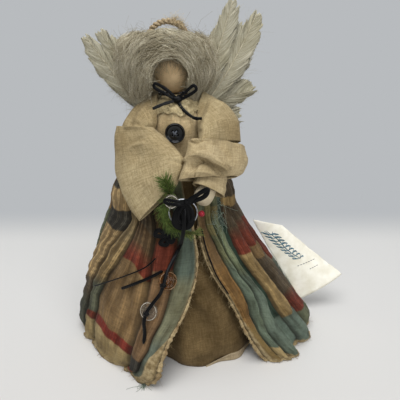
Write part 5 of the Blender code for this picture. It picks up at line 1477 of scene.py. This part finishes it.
rim_turn, rim_size = dice.uniform(-0.45, math.pi + 0.45, 420), dice.uniform(1.0, 1.14, 420)
rim = FACE + np.stack((np.cos(rim_turn), np.sin(rim_turn)), -1) * rim_size[:, None] * FACE_HALF
width = read(HAIR_SHAPE, (rim[:, 1] - HAIR_MIDDLE[2]) / HAIR_TALL)
aside = (rim[:, 0] - HAIR_MIDDLE[0]) / HAIR_HALF[0]
front = HAIR_MIDDLE[1] - 0.93 * HAIR_HALF[1] * np.sqrt(np.maximum(width**2 - aside**2, 0.1))
rim_root = np.stack((rim[:, 0], front, rim[:, 1]), -1)
inward = np.stack((FACE[0] - rim[:, 0], 0 * front, FACE[1] - rim[:, 1]), -1) / FACE_HALF[0]
rim_way = unit(0.75 * inward + 0.35 * dice.normal(size=rim_root.shape) * (1, 0.3, 1) + (0, 0.05, -0.55))
fringe = loose_threads("fringe", rim_root, rim_way, 6.5 * MM, 0.3, 0.1 * MM, WOOL, 115, 0.5)
strays = loose_threads("strays", root, way, 9 * MM, 0.3, 0.09 * MM, WOOL, 114, 0.7)
ride(merged("hair_strays", [strays, fringe]), "wool")

# %% [markdown]
# ## Halo
# A ring of two-strand jute rope stands behind the crown. With an odd number of half turns the two strands are one line
# that goes round twice.

# %% Twisted rope
HALO_CENTRE = HEAD + np.array((-5, 16.5, 16.5)) * MM
HALO_RADIUS, TWISTS, TILT = 17 * MM, 14.5, math.radians(-15)


def halo_line(t, twists, offset, phase=0.0):
    """Ring point + offset times a direction that turns round the ring's own line, twists times for each time round."""
    flat = np.stack((np.cos(t), np.sin(t) * math.sin(TILT), np.sin(t) * math.cos(TILT)), -1)
    across = np.array((0.0, math.cos(TILT), -math.sin(TILT)))
    a = twists * t + phase
    return HALO_CENTRE + HALO_RADIUS * flat + offset * (np.cos(a)[..., None] * flat + np.sin(a)[..., None] * across)


t = np.linspace(0, 4 * math.pi, 460)
strand = halo_line(t, TWISTS, 1.15 * MM)
rope = surface("halo_rope", tube_rings(strand, 1.25 * MM, 1.25 * MM, 10, (0, 1, 0.01), 0), JUTE, caps=True)
ride(rope, "jute", "halo")
FUZZ, TUFT = 300, 420
t = random.uniform(0, 2 * math.pi, (FUZZ, 1)) + np.linspace(0, 0.3, 6)[None]
fuzz = halo_line(t, TWISTS, 2.2 * MM * np.ones((FUZZ, 1, 1)), random.integers(0, 2, (FUZZ, 1)) * math.pi)
fuzz += random.normal(size=(FUZZ, 1, 3)) * np.linspace(0, 1, 6)[None, :, None] ** 2 * MM
ride(many_tubes("halo_fuzz", fuzz, 0.09 * MM, 0.09 * MM, (0, -1, 0), JUTE, 3, 0.5), "jute")

root = halo_line(np.radians(random.uniform(48, 82, TUFT)), 0, 0.0)
way = [mean + spread * random.normal(size=TUFT) for mean, spread in ((0.3, 0.8), (0.2, 0.3), (0.6, 0.35))]
root = root + random.normal(size=(TUFT, 3)) * MM
tuft = loose_threads("halo_tuft", root, unit(np.stack(way, -1)), 7 * MM, 0.5, 0.1 * MM, JUTE_PALE, 121, 0.5)
ride(tuft, "jute")

# %% [markdown]
# ## Feather wings
# A feather is a quill with a row of barbs on each side. Real vanes part in tufts, and the barbs near the root are soft
# down. The vane is one thin sheet whose rows are the barbs, slanted towards the tip, and loose barbs soften its edge.
# Each row of the tables gives the tip's place across and above the root, the half width and the bow.

# %% Feather shapes
FEATHERS_LEFT = (
    (-80, 78, 11, 5), (-67, 82, 11, 2), (-72, 66, 11, 2), (-62, 51, 11, -3), (-59, 38, 10, -4), (-44, 25, 9, -4),
)
FEATHERS_RIGHT = (
    (45, 105.5, 11, -3), (66, 96, 12, -5), (54, 87, 11, -2), (66, 83, 11, 1), (59, 59, 11, 3), (66, 33, 10, 5),
    (52, 7, 9, 4),
)
WING_ROOT = 196
WING_SEAT = clad(body_radius(WING_ROOT * MM)) + 1.7 * MM
BARB_LIMIT = 21 * MM


def quill_line(t, layer, side, tip_x, tip_z, bow):
    """Root to tip with a bow: root + (tip - root) t + across bow sin(pi t), in x and z."""
    root = np.array((side * 5, WING_ROOT + layer * 0.9)) * MM
    run = np.array((tip_x, WING_ROOT + tip_z)) * MM - root
    along = run / np.linalg.norm(run)
    across = np.array((-along[1], along[0]))
    return root + run * t[..., None] + across * (bow * MM * np.sin(np.pi * t))[..., None], across, along


def on_wing(flat, layer):
    """Gives flat x and z places their depth: the layer's seat + 1.3 x squared."""
    x, z = flat[..., 0], flat[..., 1]
    return np.stack((x - LEAN, WING_SEAT + layer * 1.2 * MM + 0.45 * MM + 1.3 * x * x, z), -1)


def barb_shape(t, way, facts, half):
    """Reach and forward length of the barb at t on one side: 0.1 + 0.9 sin(pi t^0.74)^0.8, parted in tufts by waves."""
    layer = facts[0]
    tuft = np.sin(23 * t + 2 * way + layer) + np.sin(41 * t + 4 * way + 2 * layer)
    from_gap = (t * 4.3 + 0.37 * way + 0.61 * layer) % 1.0 - 0.5
    split = np.exp(-((from_gap / 0.05) ** 2)) * (0.25 + 0.35 * np.sin(9 * t + layer) ** 2)
    reach = half * MM * (0.1 + 0.9 * np.sin(np.pi * t**0.74) ** 0.8) * (1 + 0.05 * tuft - 0.45 * split)
    lean = 0.42 + 0.05 * tuft - 0.1 * t
    return reach, np.minimum(reach / np.tan(lean), BARB_LIMIT) * (1.05 - 0.35 * t**3), tuft


VANE_ROWS, VANE_COLUMNS = 92, 7


def vane(facts, half):
    """The whole vane as a sheet: each row is one pair of barbs, and s runs along each barb from the quill outwards."""
    t = np.linspace(0.03, 0.995, VANE_ROWS)
    flat, across, along = quill_line(t, *facts)
    s = np.linspace(0, 1, VANE_COLUMNS)
    sides = []
    for way in (-1.0, 1.0):
        reach, long, tuft = barb_shape(t, way, facts, half)
        reach = reach * (1 + 0.035 * np.sin(np.arange(VANE_ROWS) * 2.4 + way))
        out = (way * reach)[:, None, None] * (1.25 * s - 0.25 * s**2)[None, :, None] * across
        forth = long[:, None, None] * (0.6 * s + 0.4 * s**2)[None, :, None] * along
        place = on_wing(flat[:, None] + out + forth, facts[0])
        place[..., 1] += (0.35 * MM * tuft)[:, None] * s[None] ** 1.5 + 0.5 * MM * s[None] ** 2
        sides.append(place)
    return np.concatenate((sides[0][:, ::-1], sides[1][:, 1:]), 1)


def barbs(dice, count, facts, half, soft_part, curl):
    """Loose barbs along the vane's edge, or with a soft part the down near the root."""
    way = np.where(np.arange(count) % 2 < 1, -1.0, 1.0)
    t = dice.uniform(0.02, 0.985, count) ** (1.0 if soft_part == 0 else 1.8)
    flat, across, along = quill_line(t, *facts)
    reach, long, tuft = barb_shape(t, way, facts, half)
    reach, long = reach * dice.uniform(0.9, 1.16, count), long * dice.uniform(0.85, 1.1, count)
    loose = 0.35 * np.clip(1 - t / 0.42, 0, 1) + soft_part
    s = np.linspace(0, 1, 5)[None, :, None]
    out = (reach * way)[:, None, None] * (1.25 * s - 0.25 * s**2) * across
    forth = long[:, None, None] * (0.6 * s + 0.4 * s**2) * along * (1 - 0.6 * soft_part)
    swirl = dice.normal(size=(count, 1, 2)) * ((0.12 + curl * loose) * reach)[:, None, None] * s**2
    lines = on_wing(flat[:, None] + out + forth + swirl, facts[0])
    lift = np.abs(dice.normal(size=(count, 1))) * (0.4 + 4.0 * loose[:, None]) * MM
    lines[..., 1] += (0.35 * MM * tuft)[:, None] * s[..., 0] ** 1.5 + lift * s[..., 0] ** 2
    return lines


def feather(name, layer, side, tip_x, tip_z, half, bow):
    """A quill, a streaked vane with parted edges, loose barbs along it and down near the root."""
    dice = np.random.default_rng(200 + layer * 7 + (50 if side > 0 else 0))
    facts = (layer, side, tip_x, tip_z, bow)
    quill = on_wing(quill_line(np.linspace(0, 1, 40), *facts)[0], layer) - (0, 0.25 * MM, 0)
    wide, deep = np.linspace(0.6, 0.15, 40) * MM, np.linspace(0.45, 0.12, 40) * MM
    shaft = surface("shaft", tube_rings(quill, wide, deep, 6, (0, -1, 0), 2), QUILL, caps=True)
    front = vane(facts, half)
    parts = [shell("blade", front, front + (0, 0.12 * MM, 0), PLUME, {})]
    for count, reach, soft_part, curl, wide in ((190, half, 0, 0.35, 0.12), (150, half * 1.12, 0.4, 1.0, 0.09)):
        lines = barbs(dice, count, facts, reach, soft_part, curl)
        parts.append(many_tubes("barbs", lines, wide * MM, 0.07 * MM, (0, -1, 0.02), PLUME, 3, 0.4))
    ride(merged(name + "_plume", [*parts, shaft]), "feather", name)


for side, word, tips in ((-1, "left", FEATHERS_LEFT), (1, "right", FEATHERS_RIGHT)):
    for layer, (tip_x, tip_z, half, bend) in enumerate(tips):
        feather(f"feather_{word}_{layer + 1}", layer, side, tip_x, tip_z, half, bend)

# %% [markdown]
# ## Wreath
# A ring of bright wire, a short garland of needles wired to its left side, one red berry and a black ribbon that ties
# it to the hand.


# %% Wire ring and berry
def ring_at(angle, radius, back=0.0):
    """A point at an angle in degrees round the wreath."""
    a = np.radians(np.asarray(angle, float))
    return at_wreath(np.stack((radius * np.cos(a), back + 0 * a, radius * np.sin(a)), -1))


WIRE_RING, WIRE_HALF, BERRY_HALF = 10.4, 0.55 * MM, 2.4 * MM
wire_line = ring_at(np.degrees(full_turn(120)), WIRE_RING)
wire = surface("wreath_wire_ring", tube_rings(wire_line, WIRE_HALF, WIRE_HALF, 12, (0, 1, 0.01), 0), WIRE, caps=True)
ride(wire, "silver_wire", "wreath_wire")
berry_at = ring_at(-4, 13.7)
berry_skin = egg_points(berry_at, BERRY_HALF, 24, 32)
berry_skin += unit(berry_skin - berry_at) * ripple(berry_skin, 2 * MM, 131)[..., None] * 0.12 * MM
ride(surface("red_berry_round", berry_skin, BERRY, caps=True), "red_berry", "red_berry")


# %% Needles
NEEDLE = 0.21 * MM


def needles(node, route, count, reach, lean, seed, material):
    """Pine needles round a stem: each leaves its line at a slant in a random direction round it, and bends a little."""
    dice = np.random.default_rng(seed)
    line = smooth_line(route, 80)
    stem = surface("stem", tube_rings(line, 0.55 * MM, 0.55 * MM, 8), STEM, caps=True)
    pick = dice.integers(0, 80, count)
    along = unit(np.gradient(line, axis=0))[pick]
    side = unit(np.cross(along, np.array((0.1, -1, 0.2))))
    front = np.cross(side, along)
    a = dice.uniform(0, 2 * math.pi, (count, 1))
    way = unit(along * lean + (side * np.cos(a) + front * np.sin(a)) + 0.12 * dice.normal(size=(count, 3)))
    size = (reach * dice.uniform(0.55, 1.0, count))[:, None, None]
    s = np.linspace(0, 1, 5)[None, :, None]
    bent = s * way[:, None] + 0.18 * s**2 * along[:, None] + 0.08 * s**2 * np.array((0, 0, -1.0))
    wide = NEEDLE * dice.uniform(0.8, 1.3, count)
    lines = line[pick][:, None] + size * bent
    leaves = many_tubes("leaves", lines, wide, NEEDLE * 0.7, (0.2, -1, 0.3), material, 4, 0.3)
    ride(merged(node + "_needles", [leaves, stem]), "pine", node)


GARLAND = ring_at((112, 140, 165, 190, 215, 240, 265), 14.6, 0.8)
SPRIG_TOP = at_wreath(((-8.7, 1.2, 13.5), (-10.3, 0.4, 18.5), (-12.7, -0.4, 25)))
SPRIG_LOW = at_wreath(((-1.7, 1.2, -16.2), (4.5, 0.2, -17.4), (10.5, -0.2, -16)))
needles("pine_garland", GARLAND, 480, 9 * MM, 0.6, 141, PINE)
needles("pine_sprig_top", SPRIG_TOP, 230, 9.5 * MM, 0.85, 142, PINE)
needles("pine_sprig_low", SPRIG_LOW, 100, 7 * MM, 1.2, 143, PINE_PALE)

# %% Ribbon on the wreath and below it
WREATH_BOW = (
    (((3, -4, 9.2), (7.5, -5, 13.4), (16.5, -5, 19.4), (18, -5, 18), (14.5, -5, 13.6), (3.5, -4, 8.8)), 1.7),
    (((2, -4, 9.6), (-2.5, -7.4, 11.2), (-11.5, -7.6, 12.8), (-11.5, -7.6, 10.2), (-2.5, -7.4, 9), (2, -4, 9)), 1.2),
    (
        ((1.9, -3.6, 8.5), (-4, -3.4, 1), (-5.7, -3.4, -6.5), (-1, -3.4, -10), (4.5, -3.4, -8.5), (6, -3.4, -1),
         (3.1, -3.6, 8)),
        2.8,
    ),
    (((2.4, -3.2, 8.5), (0.5, -3.0, 1), (1.5, -2.8, -7), (3.2, -3.0, 0), (2.6, -3.2, 8)), 3.0),
    (((2, -3.8, 8.5), (-2.5, -4.4, 3), (-3.4, -4.8, -3.5), (-0.5, -4.6, -5.5), (1.2, -4.2, 0), (2.4, -3.8, 8)), 1.3),
    (((3, -3.8, 8.5), (6.5, -4.6, 4), (7.4, -4.8, -1.5), (5, -4.6, -4.5), (3.6, -4.2, 1), (2.8, -3.8, 8)), 1.3),
)
parts = [ribbon(at_wreath(route), wide * MM) for route, wide in WREATH_BOW]
bow("wreath_ribbon", "wreath_bow", parts, at_wreath((2.4, -2.9, 9.3)), (2.8, 2.4, 2.6))

ROSETTE = np.array((-26.26, -49.52, 126.0))
ROSETTE_LOOPS = (
    ((0, 0, 0), (-6, -1, 5), (-8.5, -1, 0.5), (0, 0, -1)),
    ((0, 0, -1), (-5, -1, -6), (0, -1, -7.5), (1, 0, -1)),
    ((1, 0, 0), (5.5, -1, 4), (7.5, -1, 0), (1, 0, -1)),
    ((0, -0.6, 0), (-2, -1.8, 4.5), (2, -1.8, 4.8), (0.6, -0.6, 0)),
    ((0.5, -0.6, -1), (3, -1.6, -5), (5.5, -1.4, -3), (1, -0.6, -0.5)),
)
parts = [ribbon((ROSETTE + np.array(loop)) * MM, 1.7 * MM) for loop in ROSETTE_LOOPS]
bow("rosette_ribbon", "ribbon_rosette", parts, ROSETTE * MM, (3.2, 2.2, 3))

# %% [markdown]
# ## Paper card
# The card is cream paper, curled and bent, and it leans on the skirt. It carries a plain sprig in blue ink and rows of
# short strokes.

# %% Card
CARD_CORNERS = np.array(((52.45, 31.73, 105.7), (107.46, 31.88, 13.41))) * MM
CARD_ACROSS = np.array(((32, 10, -10.7), (44.5, 7.5, 26.1))) * MM
CARD_FACING = unit(np.cross(CARD_ACROSS[0], CARD_CORNERS[1] - CARD_CORNERS[0]))
CARD_FACING = CARD_FACING * (-np.sign(CARD_FACING[1]))


def card_point(v, w, off=0.0):
    """A point of the card at v down and w across between its corners, + facing 3 mm (4 w (1 - w) - 1.2 sin(pi v))."""
    v, w = np.broadcast_arrays(np.asarray(v, float), np.asarray(w, float))
    low = CARD_CORNERS[0] + (CARD_CORNERS[1] - CARD_CORNERS[0]) * v[..., None]
    across = CARD_ACROSS[0] + (CARD_ACROSS[1] - CARD_ACROSS[0]) * v[..., None]
    bow = 3 * MM * (4 * w * (1 - w) - 1.2 * np.sin(np.pi * v)) + off
    return low + across * w[..., None] + CARD_FACING * bow[..., None]


def card_dent(v, w):
    """How far the paper is dented at a place."""
    return 0.35 * MM * ripple(card_point(v, w), 30 * MM, 151)


PAPER = plain("card", "FAF7EA", "E6E1CE", 90.0, 0.85, 0.1 * MM)
INK = plain("blue_ink", "23485A", "5B8494", 500.0, 0.8, 0.02 * MM)
DARK_INK = plain("dark_ink", "35373A", "4A4C50", 700.0, 0.8, 0.02 * MM)
v, w = np.meshgrid(np.linspace(0, 1, 44), np.linspace(0, 1, 36), indexing="ij")
ragged = 0.006 * np.sin(23 * v) + 0.004 * np.sin(61 * v + 1)
w_in = w * (1 + ragged * (w > 0.5)) - ragged * (1 - w) * 0.7
dent = card_dent(v, w)
front, back = card_point(v, w_in, dent), card_point(v, w_in, dent - 0.5 * MM)
card = shell("card_paper", front, back, PAPER, {})
ride(card, "card", "hang_tag")


# %% Sprig and strokes on the card
def stroke(line, width, material):
    """A flat mark on the card along a line of (v, w) places."""
    v, w = smooth_line(np.array(line, float), 14).T
    middle = card_point(v, w, card_dent(v, w) + 0.03 * MM)
    return surface("mark", tube_rings(middle, width, 0.06 * MM, 8, CARD_FACING, 8), material, caps=True)


marks = [stroke(((0.13, 0.2), (0.25, 0.38), (0.4, 0.42), (0.57, 0.56)), 0.8 * MM, INK)]
for i in range(9):
    at, sideways = 0.14 + 0.047 * i, 0.27 + 0.032 * i
    for way in (-1, 1):
        tip = (at + 0.01 + 0.03 * (way > 0), sideways + way * (0.24 - 0.014 * i))
        middle = (at + 0.025, sideways + way * 0.12)
        marks.append(stroke(((at + 0.045, sideways), middle, tip), (1.35 - 0.06 * i) * MM, INK))
        marks.append(stroke(((at + 0.03, sideways + way * 0.05), (at - 0.005, sideways + way * 0.13)), 0.35 * MM, INK))
for row, (start, stop, count) in enumerate(((0.36, 0.86, 7), (0.55, 0.8, 4))):
    edges = np.linspace(start, stop, count + 1)
    for a, b in zip(edges[:-1], edges[1:]):
        v0 = 0.64 + 0.09 * row
        marks.append(stroke(((v0, a), (v0 + 0.004, b - 0.02)), 0.42 * MM, DARK_INK))
ride(merged("card_marks", marks), "card")

# %% [markdown]
# ## Loose threads
# Grey-green threads have pulled out of the skirt's gathers beside the wreath, and a tuft hangs from the hem's front
# corner.

# %% Loose threads
SAGE = plain("sage_thread", "94A091", "5D6A5C", 900.0, 0.9, shine=0.1)
dice = np.random.default_rng(161)
root = np.stack((dice.uniform(10, 19, 34), dice.uniform(-46, -40, 34), dice.uniform(130, 152, 34)), -1) * MM
way = unit(np.stack((dice.normal(size=34) * 0.5, -0.35 + 0 * root[:, 0], dice.normal(size=34)), -1))
ride(loose_threads("waist_threads", root, way, 10 * MM, 0.5, 0.2 * MM, SAGE, 162, 0.6), "quilt")
root = left_edge[0] + dice.normal(size=(26, 3)) * (1.2, 0.8, 0.5) * MM
way = unit(np.array((-0.1, -1, -0.1)) + 0.25 * dice.normal(size=(26, 3)))
ride(loose_threads("hem_tuft", root, way, 9 * MM, 0.4, 0.2 * MM, SAGE, 163, 0.3), "quilt")

# %% [markdown]
# ## Table, wall and light
# The doll stands on a pale table before a pale wall. The floor turns into the wall's colour a hand's breadth behind the
# doll, for the camera only. The light is soft and plain, from above and from the front.

# %% Floor
floor_mesh = bpy.data.meshes.new("floor")
floor_mesh.from_pydata([(-4, -4, 0), (4, -4, 0), (4, 4, 0), (-4, 4, 0)], [], [(0, 1, 2, 3)])
floor = linked("floor", floor_mesh)
WALL_COLOUR = linear("B8BBBE")
tree = Tree("floor_finish", 0.9)
depth = tree.axes(tree.add("TexCoord").outputs["Object"])[1]
# Painted light: the floor's colour runs from darker near the front to lighter towards the back.
away = tree.add("MapRange", {0: depth, 1: -0.2, 2: 0.2, 3: 0.0, 4: 1.0}).outputs[0]
tree.finish(tree.tint(away, (0.0, "CFCDCA"), (1.0, "E6E5E2")))
fade = tree.add("MapRange", {0: depth, 1: 0.19, 2: 0.33, 3: 0.0, 4: 1.0}, interpolation_type="SMOOTHSTEP").outputs[0]
seen = tree.math("MULTIPLY", fade, tree.add("LightPath").outputs["Is Camera Ray"])
wall = tree.add("Emission", {0: WALL_COLOUR, 1: 1.0}).outputs[0]
both = tree.add("MixShader", {0: seen, 1: tree.shader.outputs[0], 2: wall}).outputs[0]
tree.links.new(both, tree.nodes["Material Output"].inputs[0])
floor_mesh.materials.append(tree.material)

# %% World and lamps
world = bpy.data.worlds.new("studio")
bpy.context.scene.world = world
world.use_nodes = True
nodes, links = world.node_tree.nodes, world.node_tree.links
path, mix = nodes.new("ShaderNodeLightPath"), nodes.new("ShaderNodeMixShader")
air, wall_seen = nodes["Background"], nodes.new("ShaderNodeBackground")
air.inputs[0].default_value, air.inputs[1].default_value = (0.93, 0.96, 1.0, 1.0), 0.36
wall_seen.inputs[0].default_value, wall_seen.inputs[1].default_value = WALL_COLOUR, 1.0
links.new(path.outputs["Is Camera Ray"], mix.inputs[0])
links.new(air.outputs[0], mix.inputs[1])
links.new(wall_seen.outputs[0], mix.inputs[2])
links.new(mix.outputs[0], nodes["World Output"].inputs[0])


def lamp(name, where, target, size, power):
    """A soft square lamp at a place, turned to a target."""
    data = bpy.data.lights.new(name, "AREA")
    data.size, data.energy = size, power
    made = linked(name, data)
    made.location = where
    made.rotation_euler = (Vector(target) - Vector(where)).to_track_quat("-Z", "Y").to_euler()


lamp("soft_top", (-0.1, -0.35, 1.0), (0, 0, 0.12), 0.7, 8.8)
lamp("soft_front", (0.6, -0.95, 0.5), (0, 0, 0.14), 0.6, 4.2)
bpy.context.scene.view_settings.view_transform = "Standard"

# %% Count the triangles
view_layer = bpy.context.evaluated_depsgraph_get()
counts = {}
for made in bpy.data.objects:
    if made.type == "MESH" and made.visible_get() and not made.hide_render:
        mesh = made.evaluated_get(view_layer).data
        mesh.calc_loop_triangles()
        counts[made.name] = len(mesh.loop_triangles)
most = max(counts, key=counts.get)
print("triangles in all:", sum(counts.values()), "most in one piece:", most, counts[most])
